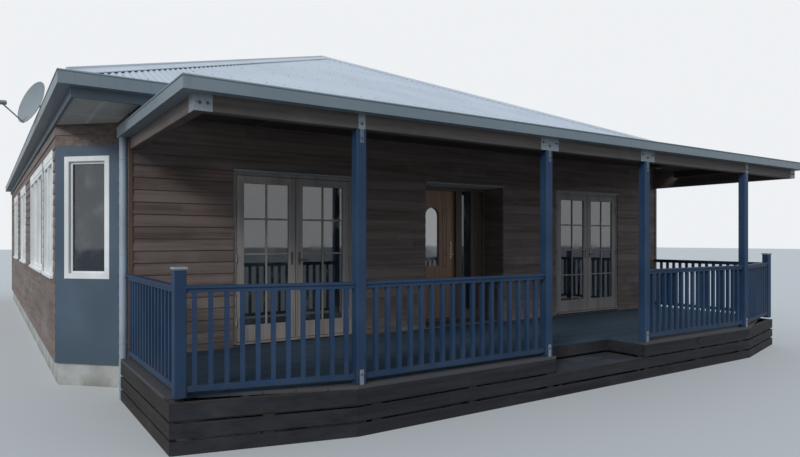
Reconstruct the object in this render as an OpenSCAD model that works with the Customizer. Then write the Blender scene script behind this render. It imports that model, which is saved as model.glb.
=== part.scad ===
// Timber beach house with a hipped steel roof, a full-width front verandah and a low deck.
// Millimetres, +Z up and +Y into the house. The origin is on the ground under the middle
// of the front wall's outer face.

/* [House walls] */
// Width of the front wall between the two corner returns
front_w = 9280; // [8800:20:9800]
// Depth from the front wall to the back wall
house_d = 14000; // [13000:100:16000]
// Depth of the return behind each front corner
return_d = 600; // [500:10:800]
// Size in plan of the 45 degree splay behind each return
splay = 590; // [540:10:660]
// Thickness of the outer walls
wall_t = 130; // [110:5:160]
// Thickness of the weatherboard skin that laps over the edge of the floor
clad_t = 20; // [16:1:28]
// Height of the foot of the weatherboards above the ground
clad_foot = 260; // [200:5:290]
// Height of the house floor above the deck
floor_step = 30; // [20:5:50]
// Thickness of the floor boards
floor_t = 22; // [18:1:32]
// Depth of the floor joists
floor_joist_h = 140; // [120:5:160]
// Spacing of the floor joists
floor_joist_gap = 600; // [450:10:700]
// Thickness of the foundation wall
found_t = 160; // [140:5:220]
// Width of the foundation ledge that carries the deck joists
ledge_w = 60; // [40:5:90]

/* [Main roof] */
// Height of the flat soffit above the ground
soffit_h = 3040; // [2980:10:3100]
// Thickness of the soffit lining
soffit_t = 12; // [9:1:18]
// Overhang of the front and back fascias from the walls
eave_front = 580; // [500:10:620]
// Thickness of the fascia boards
fascia_t = 30; // [25:1:40]
// Drop of the fascia below the soffit
fascia_drop = 10; // [5:5:30]
// Height of the roof sheets at the eave edge above the soffit
eave_h = 225; // [215:5:260]
// Rise of the main roof for each unit of run
roof_rise = 0.43; // [0.36:0.01:0.5]
// Vertical thickness of the roof sheets
roof_t = 20; // [16:1:30]
// Overlap of the sheets into the gutter
sheet_lap = 50; // [40:5:60]
// Width of each wing of the hip and ridge caps
cap_wing = 170; // [140:5:220]
// Vertical thickness of the hip and ridge caps
cap_t = 8; // [5:1:12]
// Width of the main gutter
gutter_w = 120; // [110:5:140]
// Height of the main gutter
gutter_h = 120; // [110:5:130]
// Wall thickness of the gutters
gutter_t = 4; // [3:1:6]

/* [Verandah] */
// Distance from the front wall to the front faces of posts and beam
verandah_d = 2430; // [2300:10:2500]
// Distance of the two inner posts from the middle
post_in_x = 865; // [840:5:900]
// Distance of the two outer posts from the middle
post_out_x = 3205; // [3100:5:3300]
// Width of the square posts
post_w = 95; // [85:5:110]
// Height of the verandah beam
beam_h = 200; // [180:5:240]
// Thickness of the verandah beam
beam_t = 90; // [70:5:110]
// Clear gap between the main gutter and the verandah roof under it
tuck_gap = 12; // [5:1:40]
// Rise of the verandah roof for each unit of run
verandah_rise = 0.13; // [0.1:0.005:0.135]
// Vertical thickness of the verandah roof sheets
verandah_roof_t = 15; // [12:1:20]
// Width of the verandah gutter
verandah_gutter_w = 110; // [100:5:130]
// Height of the verandah gutter
verandah_gutter_h = 100; // [90:5:115]
// Rise of the verandah gutter's rim above the sheets' edge
gutter_rim = 20; // [10:5:30]
// Width of the verandah rafters
rafter_w = 45; // [40:5:60]
// Depth of the verandah rafters
rafter_h = 90; // [75:5:110]
// Spacing of the verandah rafters
rafter_gap = 870; // [780:10:900]
// Diameter of the downpipes
pipe_d = 80; // [70:5:90]

/* [Deck] */
// Height of the deck above the ground
deck_h = 440; // [420:5:455]
// Thickness of the deck boards
deck_board_t = 32; // [25:1:40]
// Reach of the deck's front edge beyond the posts
deck_lip = 20; // [10:5:60]
// Half length of the straight part of the deck's front edge
deck_front_x = 3250; // [3180:10:3350]
// Distance of the deck's side edges beyond the front wall's ends
deck_side = 90; // [60:5:120]
// Setback of the deck's outer corners from its front edge
deck_cant = 390; // [340:10:440]
// Thickness of the skirting boards
skirt_t = 20; // [16:1:28]
// Height of the open gaps between the skirting boards
skirt_gap = 22; // [15:1:30]
// Height of the narrow skirting boards
skirt_board_h = 120; // [100:5:130]
// Height of the step's tread above the ground
step_h = 250; // [220:5:255]
// Thickness of the step's tread
tread_t = 38; // [30:1:45]
// Half width of the step recess
step_x = 785; // [740:5:800]
// Depth of the step recess
step_d = 550; // [450:10:650]
// Width of the joists
joist_w = 45; // [40:5:60]
// Spacing of the deck joists
joist_gap = 590; // [450:10:700]

/* [Railings] */
// Height of the railing's top above the deck
rail_top = 890; // [850:10:950]
// Width of the flat cap on the railing
rail_cap_w = 75; // [60:5:90]
// Thickness of the flat cap on the railing
rail_cap_t = 20; // [15:1:30]
// Width of the rails under the cap and at the foot
rail_w = 45; // [42:1:60]
// Height of the rail under the cap
top_rail_h = 36; // [30:1:50]
// Height of the bottom rail
foot_rail_h = 50; // [40:1:60]
// Clear height under the bottom rail
foot_gap = 45; // [35:5:70]
// Width of the square balusters
baluster_w = 38; // [30:1:40]
// Spacing of the balusters
baluster_gap = 125; // [110:5:140]
// Height of the newel posts above the deck
newel_h = 1030; // [980:10:1100]
// Overhang of the caps on the newel posts
newel_cap = 10; // [6:1:20]
// Setback of the newel posts from the deck's side edges
newel_in = 40; // [20:5:60]

/* [French doors] */
// Distance of each French door's middle from the middle of the front
french_x = 2720; // [2600:10:2760]
// Width of each French door frame
french_w = 1590; // [1500:10:1640]
// Height of the heads of the door frames above the ground
door_head = 2500; // [2400:10:2560]
// Face width of the door jambs and heads
jamb_w = 40; // [35:1:55]
// Height of the door sills
sill_h = 20; // [15:1:30]
// Projection of the door sills from the wall
sill_out = 35; // [20:5:50]
// Setback of the door frames from the wall's outer face
frame_back = 10; // [8:1:14]
// Thickness of the French door leaves
leaf_t = 40; // [35:1:45]
// Gap between a door leaf and its frame
door_gap = 6; // [5:0.5:8]
// Gap on the closing side of the doors
meet_gap = 8; // [7:0.5:10]
// Width of the stiles and top rail of the glazed leaves
stile_w = 90; // [80:5:110]
// Height of the bottom rail of the glazed leaves
kick_h = 190; // [150:10:240]
// Thickness of the glass
glass_t = 6; // [4:1:8]
// Depth of the door stops
stop_t = 12; // [10:1:16]
// Diameter of the hinge barrels
hinge_d = 12; // [10:1:13]
// Height of each half of a hinge
hinge_h = 50; // [40:5:60]

/* [Entry] */
// Width of the entry recess
entry_w = 1490; // [1440:10:1510]
// Distance of the entry frame behind the wall's outer face
entry_back = 420; // [300:10:500]
// Depth of the entry frame
entry_frame_d = 100; // [90:5:130]
// Thickness of the walls beside the entry recess
cheek_t = 100; // [90:5:120]
// Width of the front door
front_door_w = 860; // [820:10:880]
// Thickness of the front door
front_door_t = 44; // [40:1:50]
// Width of the post between the front door and the sidelight
mullion_w = 100; // [80:5:110]
// Width of the sidelight
sidelight_w = 190; // [150:10:230]
// Setback of the boarded panel beside the sidelight from the entry frame's face
side_panel_in = 45; // [30:5:60]
// Width of the arched glass in the front door
arch_w = 260; // [220:10:300]
// Height of the arched glass in the front door
arch_h = 890; // [800:10:950]
// Height of the foot of the arched glass above the door's foot
arch_foot = 800; // [750:10:900]
// Face width of the moulding round the arched glass
mould_w = 35; // [25:5:50]
// Projection of the moulding from the door
mould_out = 10; // [6:1:16]
// Height of the handle above the door's foot
handle_h = 980; // [900:10:1050]
// Distance of the handle from the door's closing edge
handle_in = 65; // [55:5:80]
// Height of the rail below the sidelight
side_rail_h = 120; // [90:10:200]
// Diameter of the handle's stem
stem_d = 24; // [20:1:28]
// Reach of the handle's stem from the door
stem_l = 45; // [40:1:60]
// Length of the handle's lever
lever_l = 125; // [100:5:140]
// Thickness of the handle's lever
lever_t = 15; // [12:1:18]

/* [Windows] */
// Face width of the window frames
window_face = 60; // [50:5:70]
// Depth of the window frames in the wall
window_d = 75; // [60:5:90]
// Projection of the window frames from the wall
window_out = 15; // [13:1:20]
// Width of the windows in the splayed corners
corner_window_w = 590; // [540:10:620]
// Drop of the corner windows' heads below the soffit
corner_head_drop = 375; // [330:5:430]
// Drop of the side and back windows' heads below the soffit
head_drop = 345; // [300:5:400]
// Height of the windows from sill to head
window_h = 1450; // [1200:10:1600]
// Drop of the painted corner panels' top below the soffit
panel_drop = 255; // [200:5:290]
// Thickness of the painted corner panels
panel_t = 10; // [8:1:12]
// Height of the white trim over the windows
trim_h = 90; // [70:5:120]
// Thickness of the trim and projection of the window sills
trim_t = 20; // [18:1:30]
// Distance of the first side window from the front wall
side_window_1_y = 1470; // [1400:10:1600]
// Width of the first side window
side_window_1_w = 1260; // [1100:10:1300]
// Distance of the second side window from the front wall
side_window_2_y = 3000; // [2960:10:3200]
// Width of the second side window
side_window_2_w = 2600; // [2000:50:2800]
// Distance of the third side window from the front wall
side_window_3_y = 7200; // [6600:50:7600]
// Distance of the fourth side window from the front wall
side_window_4_y = 10500; // [9800:50:10800]
// Width of the third and fourth side windows and of the back windows
plain_window_w = 1800; // [1400:50:2200]
// Distance of the back windows from the middle of the back wall
back_window_x = 3000; // [2400:50:3300]

/* [Fixings and dish] */
// Thickness of the galvanised plates
plate_t = 4; // [3:1:6]
// Length of the wide plates over the inner posts
wide_plate_l = 270; // [200:10:320]
// Length of the narrow plates over the outer posts
narrow_plate_l = 70; // [50:5:90]
// Length of the plates on each side of a beam corner
corner_plate_l = 140; // [100:10:180]
// Length of the straps down the posts
strap_l = 120; // [80:10:180]
// Width of the straps
strap_w = 40; // [30:5:60]
// Height of the post shoes
shoe_h = 130; // [90:10:180]
// Diameter of the satellite dish
dish_d = 570; // [500:10:620]
// Depth of the satellite dish's bowl
dish_bowl = 62; // [50:2:80]
// Thickness of the satellite dish
dish_t = 5; // [4:1:8]
// Distance of the satellite dish behind the front wall
dish_y = 2000; // [1700:50:2400]
// Height of the satellite dish's deepest point over the roof's edge
dish_rise = 145; // [140:5:215]
// Upward tilt of the satellite dish
dish_tilt = 18; // [12:1:24]
// Turn of the satellite dish towards the front
dish_turn = 22; // [10:1:30]
// Distance of the receiver in front of the dish's deepest point
feed_l = 375; // [330:5:430]
// Distance of the receiver below the dish's axis
feed_drop = 170; // [150:10:230]
// Diameter of the receiver
feed_d = 56; // [44:2:64]
// Diameter of the dish's mast and boss
mast_d = 34; // [28:1:42]
// Length of the boss from the dish to its mast
boss_l = 175; // [165:5:200]

/* [Hidden] */

// Half widths of the front and of the whole house
half_front = front_w / 2;
half_side = half_front + splay;
// Share of an inset by which it moves the ends of a 45 degree splay
splay_shift = tan(22.5);
// Extra length of a cut past the faces it cuts
cut = 10;
// Gap between boards that meet end to end
board_gap = 2;
// Gap at a close joint between two timbers
joint_gap = 0.3;
// Gap between roof sheets under the caps
sheet_gap = 3;
// Overlap that joins two shapes of one solid
lap = 1;
// Clear gap between a round piece and the face beside it
round_gap = 1;
// Smoothness of turned pieces
turned = 48;

// Heights that follow from the deck and the soffit
floor_h = deck_h + floor_step;
found_h = floor_h - floor_t;
roof_edge_h = soffit_h + eave_h;
window_head = soffit_h - head_drop;
window_sill = window_head - window_h;
corner_head = soffit_h - corner_head_drop;
panel_top = soffit_h - panel_drop;
deck_d = verandah_d + deck_lip;
// Floor joists on each side of the middle
floor_joists = floor((half_front - clad_t - found_t) / floor_joist_gap);
// Underside of the deck's joists, on the ledge of the foundation
deck_joist_base = clad_foot;
deck_joist_top = deck_h - deck_board_t;

// Main roof: half width and ends over the sheets, and the gutter's faces
roof_x = half_side + fascia_t + sheet_lap;
roof_y = eave_front + sheet_lap;
roof_w = 2 * roof_x;
roof_l = house_d + 2 * roof_y;
fascia_x = half_side + fascia_t;
fascia_y = eave_front;
// The fascia stops where its outer face meets the underside of the sheets
fascia_top = roof_edge_h - roof_t + sheet_lap * roof_rise;
gutter_top = roof_edge_h - roof_t;

// Verandah roof: edge of the sheets beyond the beam
verandah_half = half_front;
verandah_edge_x = verandah_half + sheet_lap;
verandah_edge_y = verandah_d + sheet_lap;
verandah_edge_h = gutter_top - gutter_h - tuck_gap - (verandah_edge_y - fascia_y) * verandah_rise;
beam_top = verandah_edge_h - verandah_roof_t + sheet_lap * verandah_rise;
beam_base = beam_top - beam_h;
verandah_gutter_top = verandah_edge_h + gutter_rim;
verandah_gutter_base = verandah_gutter_top - verandah_gutter_h;
// The side gutters run on past the wall's corner to the downpipes
pipe_y = pipe_d / 2 + cut;
gutter_end_y = pipe_d + 2 * cut;

// Deck outline
deck_x = half_front + deck_side;
// Inset of the edge joists and the piles behind the skirting
behind_skirt = skirt_t + joint_gap;
cant_angle = atan(deck_cant / (deck_x - deck_front_x));
post_y = -verandah_d + post_w / 2;
// The newels stand on the deck in its outer corners
newel_x = deck_x - newel_in - post_w / 2;
newel_y = -deck_d + deck_cant + post_w / 2;
post_xs = [-post_out_x, -post_in_x, post_in_x, post_out_x];
// Side of the deck and share of its length at which each pile of the left half stands
pile_ways = [[0, 0.12], [0, 0.5], [1, 0.5], [2, 0.03], [2, 0.2],
    [2, 0.5 - (step_x + skirt_t + post_w / 2) / (2 * deck_front_x)]];

// French doors
french_open_w = french_w - 2 * jamb_w;
leaf_w = (french_open_w - 2 * door_gap - meet_gap) / 2;
leaf_foot = floor_h + sill_h + door_gap;
leaf_top = door_head - jamb_w - door_gap;
leaf_h = leaf_top - leaf_foot;
// The hinge line lies in front of the leaf, in the middle of the gap to the jamb
hinge_out = hinge_d / 2 + round_gap;
// Play between the two halves of a hinge
hinge_play = 0.3;
// Heights of the three hinges above the foot of a door
hinge_zs = [0.12, 0.5, 0.88] * leaf_h;

// Entry
entry_inner_y = entry_back + entry_frame_d;
front_door_y = entry_inner_y - front_door_t;
front_door_x = -entry_w / 2 + jamb_w + door_gap;
sidelight_x = front_door_x + front_door_w + meet_gap + mullion_w;
sidelight_y = entry_back + (entry_frame_d - glass_t) / 2;
side_panel_x = sidelight_x + sidelight_w + mullion_w / 2;
entry_head = door_head - jamb_w;
entry_foot = floor_h + sill_h;

// Middle and width of each door opening in the front wall
door_spans = [[-french_x, french_w], [0, entry_w], [french_x, french_w]];

// Dish: its deepest point is over the gutter's outer rim, and its boss meets the mast on the roof
dish_x = -fascia_x - gutter_w;
dish_h = roof_edge_h + dish_rise;
mast_x = dish_x + boss_l * cos(dish_tilt) * cos(dish_turn);
mast_y = dish_y + boss_l * cos(dish_tilt) * sin(dish_turn);
mast_top = dish_h - boss_l * sin(dish_tilt) + mast_d;
// Radius of the sphere that the dish is cut from
dish_r = (pow(dish_d / 2, 2) + pow(dish_bowl, 2)) / (2 * dish_bowl);

// Outline of the house moved inward by an inset: front, right splay, back, left splay
function plan(inset) = [
    [-half_front + inset, inset],
    [half_front - inset, inset],
    [half_front - inset, return_d + inset * splay_shift],
    [half_side - inset, return_d + splay + inset * splay_shift],
    [half_side - inset, house_d - inset],
    [-half_side + inset, house_d - inset],
    [-half_side + inset, return_d + splay + inset * splay_shift],
    [-half_front + inset, return_d + inset * splay_shift]];

// Outline of the deck moved inward by an inset, from the left wall end round to the right
function deck(inset) = [
    [-deck_x + inset, 0],
    [-deck_x + inset, -deck_d + deck_cant + inset * tan((90 - cant_angle) / 2)],
    [-deck_front_x + inset * tan(cant_angle / 2), -deck_d + inset],
    [deck_front_x - inset * tan(cant_angle / 2), -deck_d + inset],
    [deck_x - inset, -deck_d + deck_cant + inset * tan((90 - cant_angle) / 2)],
    [deck_x - inset, 0]];

function unit(v) = v / norm(v);

// Every window as middle on the wall's face, turn, width, sill, head and number of lights
windows = concat(
    [for (s = [-1, 1])
        [s * (half_front + splay / 2), return_d + splay / 2, 45 * s,
            corner_window_w, window_sill, corner_head, 1]],
    [for (s = [-1, 1], w = [
            [side_window_1_y, side_window_1_w, 2], [side_window_2_y, side_window_2_w, 3],
            [side_window_3_y, plain_window_w, 2], [side_window_4_y, plain_window_w, 2]])
        [s * half_side, w[0] + w[1] / 2, 90 * s, w[1], window_sill, window_head, w[2]]],
    [for (x = [-back_window_x, 0, back_window_x])
        [x, house_d, 180, plain_window_w, window_sill, window_head, 2]]);

// Walls

// A straight or bent run of the house wall between two corners of the plan
module wall_run(first, last, outer, inner, z0, z1) {
    outside = plan(outer);
    inside = plan(inner);
    translate([0, 0, z0])
        linear_extrude(z1 - z0)
            polygon(concat(
                [for (i = [first:last]) outside[i % 8]],
                [for (i = [last:-1:first]) inside[i % 8]]));
}

// A wall on the floor, with its weatherboards lapping over the floor's edge
module clad_wall(first, last, top) {
    wall_run(first, last, 0, wall_t, floor_h, top);
    wall_run(first, last, 0, clad_t, clad_foot, floor_h + cut);
}

// Moves its children onto the outer face of the wall at a window's sill
module at_window(w) {
    translate([w[0], w[1], w[4]])
        rotate(w[2])
            translate([-w[3] / 2, 0, 0])
                children();
}

module window_holes() {
    for (w = windows)
        at_window(w)
            translate([0, -cut, 0])
                cube([w[3], wall_t + 2 * cut, w[5] - w[4]]);
}

module side_run(first, last) {
    color([0.34, 0.25, 0.21])
        difference() {
            clad_wall(first, last, soffit_h);
            window_holes();
        }
}

// The part of the front wall between two distances from the middle
module front_pier(x0, x1) {
    color([0.34, 0.25, 0.21])
        intersection() {
            clad_wall(0, 1, door_head);
            translate([x0, -cut, 0])
                cube([x1 - x0, wall_t + 2 * cut, door_head]);
        }
}

// The wall beside the entry recess, running back to the entry frame's inner face
module entry_cheek(x0) {
    color([0.34, 0.25, 0.21])
        translate([x0, wall_t - cut, floor_h])
            cube([cheek_t, entry_inner_y - wall_t + cut, door_head - floor_h]);
}

module front_wall_left() {
    front_pier(-half_front, -french_x - french_w / 2);
}

module front_wall_mid_left() {
    front_pier(-french_x + french_w / 2, -entry_w / 2);
    entry_cheek(-entry_w / 2 - cheek_t);
}

module front_wall_mid_right() {
    front_pier(entry_w / 2, french_x - french_w / 2);
    entry_cheek(entry_w / 2);
}

module front_wall_right() {
    front_pier(french_x + french_w / 2, half_front);
}

// The wall over the doors, with the ceiling of the entry recess
module front_wall_head() {
    color([0.34, 0.25, 0.21]) {
        wall_run(0, 1, 0, wall_t, door_head, soffit_h);
        translate([-entry_w / 2 - cheek_t, wall_t - cut, door_head])
            cube([entry_w + 2 * cheek_t, entry_inner_y - wall_t + cut, cheek_t]);
    }
}

// Strips under the doors, in the plane of the weatherboards
module door_edges() {
    for (d = door_spans)
        translate([d[0] - d[1] / 2, 0, floor_h - floor_t])
            cube([d[1], clad_t + cut, floor_t]);
}

// Boards on joists that run from the front to the back between the foundation walls
module floor_plate() {
    end = clad_t + found_t + joint_gap;
    color([0.55, 0.42, 0.3]) {
        translate([0, 0, floor_h - floor_t])
            linear_extrude(floor_t)
                polygon(plan(clad_t));
        for (i = [-floor_joists:floor_joists])
            translate([i * floor_joist_gap - joist_w / 2, end, found_h - joint_gap - floor_joist_h])
                cube([joist_w, house_d - 2 * end, floor_joist_h]);
        door_edges();
    }
}

module foundation() {
    color([0.6, 0.6, 0.58]) {
        difference() {
            linear_extrude(found_h)
                polygon(plan(clad_t));
            translate([0, 0, -cut])
                linear_extrude(found_h + 2 * cut)
                    polygon(plan(clad_t + found_t));
        }
        translate([-half_front + found_t, -ledge_w, 0])
            cube([front_w - 2 * found_t, ledge_w + clad_t + cut, clad_foot]);
    }
}

// Windows

module window_lights(w) {
    light_w = (w[3] - (w[6] + 1) * window_face) / w[6];
    for (i = [0:w[6] - 1])
        translate([window_face + i * (light_w + window_face), 0, window_face])
            light_hole(light_w, w[5] - w[4] - 2 * window_face);
}

module light_hole(light_w, light_h) {
    translate([0, -window_out - cut, 0])
        cube([light_w, window_out + window_d + 2 * cut, light_h]);
}

module window_frames() {
    color([0.93, 0.93, 0.92])
        for (w = windows)
            at_window(w) {
                difference() {
                    translate([0, -window_out, 0])
                        cube([w[3], window_out + window_d, w[5] - w[4]]);
                    window_lights(w);
                }
                if (w[3] != corner_window_w)
                    window_trim(w[3], w[5] - w[4]);
            }
}

// The head trim and the sill on the face of the wall
module window_trim(width, height) {
    translate([-trim_t, -trim_t, height - cut])
        difference() {
            cube([width + 2 * trim_t, trim_t, trim_h + cut]);
            translate([-cut, trim_t - window_out / 2, -cut])
                cube([width + 2 * trim_t + 2 * cut, trim_t, 2 * cut]);
        }
    translate([-trim_t, -2 * trim_t, -trim_t])
        cube([width + 2 * trim_t, 2 * trim_t, trim_t]);
    translate([0, -2 * trim_t, -cut])
        cube([width, 2 * trim_t, cut + window_face / 3]);
}

module window_glass() {
    color([0.35, 0.42, 0.48])
        for (w = windows)
            at_window(w)
                intersection() {
                    window_lights(w);
                    translate([0, window_d / 2, 0])
                        cube([w[3], glass_t, w[5] - w[4]]);
                }
    sidelight_pane();
}

// Painted panels round the corner windows
module corner_panels() {
    panel_w = splay * sqrt(2);
    color([0.3, 0.38, 0.45])
        for (w = [windows[0], windows[1]])
            at_window(w)
                difference() {
                    translate([(w[3] - panel_w) / 2, -panel_t, clad_foot - w[4]])
                        cube([panel_w, panel_t, panel_top - clad_foot]);
                    translate([0, -panel_t - cut, 0])
                        cube([w[3], panel_t + 2 * cut, w[5] - w[4]]);
                }
}

// French doors

// Jambs, head, sill and stops as separate pieces
module french_door_frame() {
    w = french_w;
    inner_h = door_head - jamb_w - floor_h;
    depth = wall_t - frame_back;
    stop_y = frame_back + leaf_t + door_gap;
    translate([-w / 2, frame_back, door_head - jamb_w])
        cube([w, depth, jamb_w]);
    translate([-w / 2 + jamb_w + joint_gap, -sill_out, floor_h])
        cube([french_open_w - 2 * joint_gap, sill_out + wall_t, sill_h]);
    translate([-w / 2 + jamb_w + joint_gap, stop_y, door_head - jamb_w - joint_gap - stop_t])
        cube([french_open_w - 2 * joint_gap, stop_t, stop_t]);
    for (s = [0, 1])
        mirror([s, 0, 0]) {
            translate([-w / 2, frame_back, floor_h])
                cube([jamb_w, depth, inner_h - joint_gap]);
            translate([-w / 2 + jamb_w + joint_gap, stop_y, floor_h + sill_h + joint_gap])
                cube([stop_t, stop_t, inner_h - sill_h - stop_t - 3 * joint_gap]);
        }
}

// A folded strip over each door, with a turned-up front edge
module head_flashings() {
    color([0.6, 0.62, 0.63])
        for (d = door_spans)
            translate([d[0] - d[1] / 2, -sill_out, door_head]) {
                cube([d[1], sill_out, plate_t]);
                cube([d[1], plate_t, sill_h]);
            }
}

module french_door_frames() {
    color([0.48, 0.42, 0.37])
        for (s = [-1, 1]) {
            translate([s * french_x, 0, 0])
                french_door_frame();
            for (side = [-1, 1])
                at_french_hinge(s, side)
                    frame_hinges();
        }
}

// Puts its children, drawn rightward from a hinge line, on one side of a French door
module at_french_hinge(door, side) {
    translate([door * french_x + side * (french_open_w - door_gap) / 2, frame_back - hinge_out, leaf_foot])
        mirror([side > 0 ? 1 : 0, 0, 0])
            children();
}

module leaf_glass_hole(extra) {
    translate([door_gap / 2 + stile_w, hinge_out - extra, kick_h])
        cube([leaf_w - 2 * stile_w, leaf_t + 2 * extra, leaf_h - kick_h - stile_w]);
}

module french_leaf(door, side) {
    color([0.5, 0.43, 0.38])
        at_french_hinge(door, side) {
            difference() {
                translate([door_gap / 2, hinge_out, 0])
                    cube([leaf_w, leaf_t, leaf_h]);
                leaf_glass_hole(cut);
            }
            leaf_hinges();
        }
}

// Half of a hinge: a barrel on the hinge line with its plate against the door's face
module hinge_half(z) {
    translate([0, 0, z]) {
        cylinder(d = hinge_d, h = hinge_h, $fn = turned);
        translate([0, hinge_out - plate_t, 0])
            cube([stile_w / 3, plate_t, hinge_h]);
    }
}

// The upper halves, fixed to the leaf
module leaf_hinges() {
    for (z = hinge_zs)
        hinge_half(z + hinge_play);
}

// The lower halves, fixed to the frame
module frame_hinges() {
    mirror([1, 0, 0])
        for (z = hinge_zs)
            hinge_half(z - hinge_h);
}

module french_glass(door, side) {
    color([0.3, 0.36, 0.42])
        at_french_hinge(door, side)
            intersection() {
                leaf_glass_hole(0);
                translate([0, hinge_out + (leaf_t - glass_t) / 2, 0])
                    cube([leaf_w, glass_t, leaf_h]);
            }
}

// Entry

// Puts its children, drawn as for a door that opens outward, on the front door's hinge line
module at_front_hinge() {
    translate([front_door_x - door_gap / 2, entry_inner_y + hinge_out, leaf_foot])
        mirror([0, 1, 0])
            children();
}

module entry_frame() {
    way_w = front_door_w + door_gap + meet_gap;
    way_h = entry_head - entry_foot;
    color([0.45, 0.36, 0.3]) {
        at_front_hinge()
            frame_hinges();
        difference() {
            translate([-entry_w / 2, entry_back, floor_h])
                cube([entry_w, entry_frame_d, door_head - floor_h]);
            translate([-entry_w / 2 + jamb_w, front_door_y - door_gap, entry_foot])
                cube([way_w, entry_frame_d, way_h]);
            translate([-entry_w / 2 + jamb_w + stop_t, entry_back - cut, entry_foot])
                cube([way_w - 2 * stop_t, entry_frame_d, way_h - stop_t]);
            sidelight_hole(entry_back - cut, entry_inner_y + cut);
            translate([side_panel_x, entry_back - cut, entry_foot + side_rail_h])
                cube([entry_w / 2 - jamb_w - side_panel_x, side_panel_in + cut, way_h - side_rail_h]);
        }
    }
}

module sidelight_hole(y0, y1) {
    translate([sidelight_x, y0, entry_foot + side_rail_h])
        cube([sidelight_w, y1 - y0, entry_head - entry_foot - side_rail_h]);
}

module sidelight_pane() {
    color([0.3, 0.36, 0.42])
        sidelight_hole(sidelight_y, sidelight_y + glass_t);
}

// Outline with a round top, standing on its foot's middle
module arch(width, height) {
    translate([-width / 2, 0])
        square([width, height - width / 2]);
    translate([0, height - width / 2])
        circle(d = width, $fn = turned);
}

// Stands an outline up at the arched glass, with its thickness going into the door
module at_arch(y0, y1) {
    translate([front_door_x + front_door_w / 2, y1, leaf_foot + arch_foot])
        rotate([90, 0, 0])
            linear_extrude(y1 - y0)
                children();
}

module front_door() {
    color([0.55, 0.34, 0.22]) {
        difference() {
            translate([front_door_x, front_door_y, leaf_foot])
                cube([front_door_w, front_door_t, leaf_h]);
            at_arch(front_door_y - cut, entry_inner_y + cut)
                arch(arch_w, arch_h);
        }
        at_arch(front_door_y - mould_out, front_door_y + lap)
            difference() {
                translate([0, -mould_w])
                    arch(arch_w + 2 * mould_w, arch_h + 2 * mould_w);
                arch(arch_w, arch_h);
            }
        at_front_hinge()
            leaf_hinges();
    }
}

module front_door_glass() {
    color([0.6, 0.62, 0.6])
        at_arch(front_door_y + (front_door_t - glass_t) / 2, front_door_y + (front_door_t + glass_t) / 2)
            arch(arch_w, arch_h);
}

// A lever on a back plate, with a lock's rose above it
module front_door_handle() {
    x = front_door_x + front_door_w - handle_in;
    z = leaf_foot + handle_h;
    color([0.75, 0.73, 0.68]) {
        translate([x - strap_w / 2, front_door_y - plate_t, z - shoe_h / 2])
            cube([strap_w, plate_t, shoe_h * 2]);
        translate([x, front_door_y - plate_t, z])
            rotate([90, 0, 0])
                cylinder(d = stem_d, h = stem_l, $fn = turned);
        translate([x, front_door_y - plate_t, z + shoe_h])
            rotate([90, 0, 0])
                cylinder(d = stem_d + lever_t, h = lever_t / 2, $fn = turned);
        translate([x + stem_d / 2 - lever_l, front_door_y - plate_t - stem_l, z - lever_t / 2])
            cube([lever_l, lever_t, lever_t]);
    }
}

// Main roof

// A solid under four equal slopes that rise from a rectangle, with a skirt below its edge
module hip_block(w, l, rise, skirt) {
    intersection() {
        rotate([90, 0, 0])
            linear_extrude(l, center = true)
                polygon([[-w / 2, -skirt], [w / 2, -skirt], [w / 2, 0], [0, w / 2 * rise], [-w / 2, 0]]);
        rotate([90, 0, 90])
            linear_extrude(w, center = true)
                polygon([[-l / 2, -skirt], [l / 2, -skirt], [l / 2, 0], [0, l / 2 * rise], [-l / 2, 0]]);
    }
}

module at_main_roof() {
    translate([0, house_d / 2, roof_edge_h])
        children();
}

// Four slopes whose sheets stop short of each other under the caps
module main_roof() {
    color([0.8, 0.83, 0.85])
        at_main_roof()
            difference() {
                roof_sheets(roof_w, roof_l, roof_rise, 0, roof_t);
                translate([0, 0, -2 * roof_t])
                    linear_extrude(roof_x)
                        hip_bands(roof_x, roof_l / 2 - roof_x, sheet_gap);
            }
}

// A shell between a hipped surface and the same surface lowered
module roof_sheets(w, l, rise, drop, thick) {
    difference() {
        translate([0, 0, -drop])
            hip_block(w, l, rise, thick);
        translate([0, 0, -drop - thick])
            hip_block(w, l, rise, thick + cut);
    }
}

// Bands in plan along a ridge and its four hips, with a half width to each side
module hip_bands(run, ridge, side) {
    square([2 * side, 2 * ridge + side], center = true);
    for (s = [-1, 1], t = [-1, 1])
        translate([0, t * ridge])
            rotate(atan2(t, s))
                translate([0, -side])
                    square([(run + cut) * sqrt(2), 2 * side]);
}

module roof_caps() {
    color([0.75, 0.78, 0.8])
        at_main_roof()
            intersection() {
                roof_sheets(roof_w, roof_l, roof_rise, -cap_t, cap_t);
                linear_extrude(roof_x)
                    hip_bands(roof_x, roof_l / 2 - roof_x, cap_wing);
            }
}

// A rectangle round the house, out from the fascia's outer face
module eave_rectangle(out) {
    translate([-fascia_x - out, -fascia_y - out])
        square([2 * (fascia_x + out), house_d + 2 * (fascia_y + out)]);
}

module soffit() {
    color([0.85, 0.84, 0.8])
        translate([0, 0, soffit_h])
            linear_extrude(soffit_t)
                eave_rectangle(-fascia_t);
}

// Thin cuts along the mitres at the corners of an eave rectangle
module corner_cuts(height) {
    for (x = [-1, 1], y = [0, 1])
        translate([x * fascia_x, y == 0 ? -fascia_y : house_d + fascia_y, 0])
            rotate(45 * x * (y == 0 ? -1 : 1))
                cube([4 * gutter_w, joint_gap, 2 * height], center = true);
}

module fascia() {
    height = fascia_top - soffit_h + fascia_drop;
    color([0.5, 0.55, 0.57])
        translate([0, 0, soffit_h - fascia_drop])
            difference() {
                linear_extrude(height)
                    difference() {
                        eave_rectangle(0);
                        eave_rectangle(-fascia_t);
                    }
                corner_cuts(height + cut);
            }
}

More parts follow.
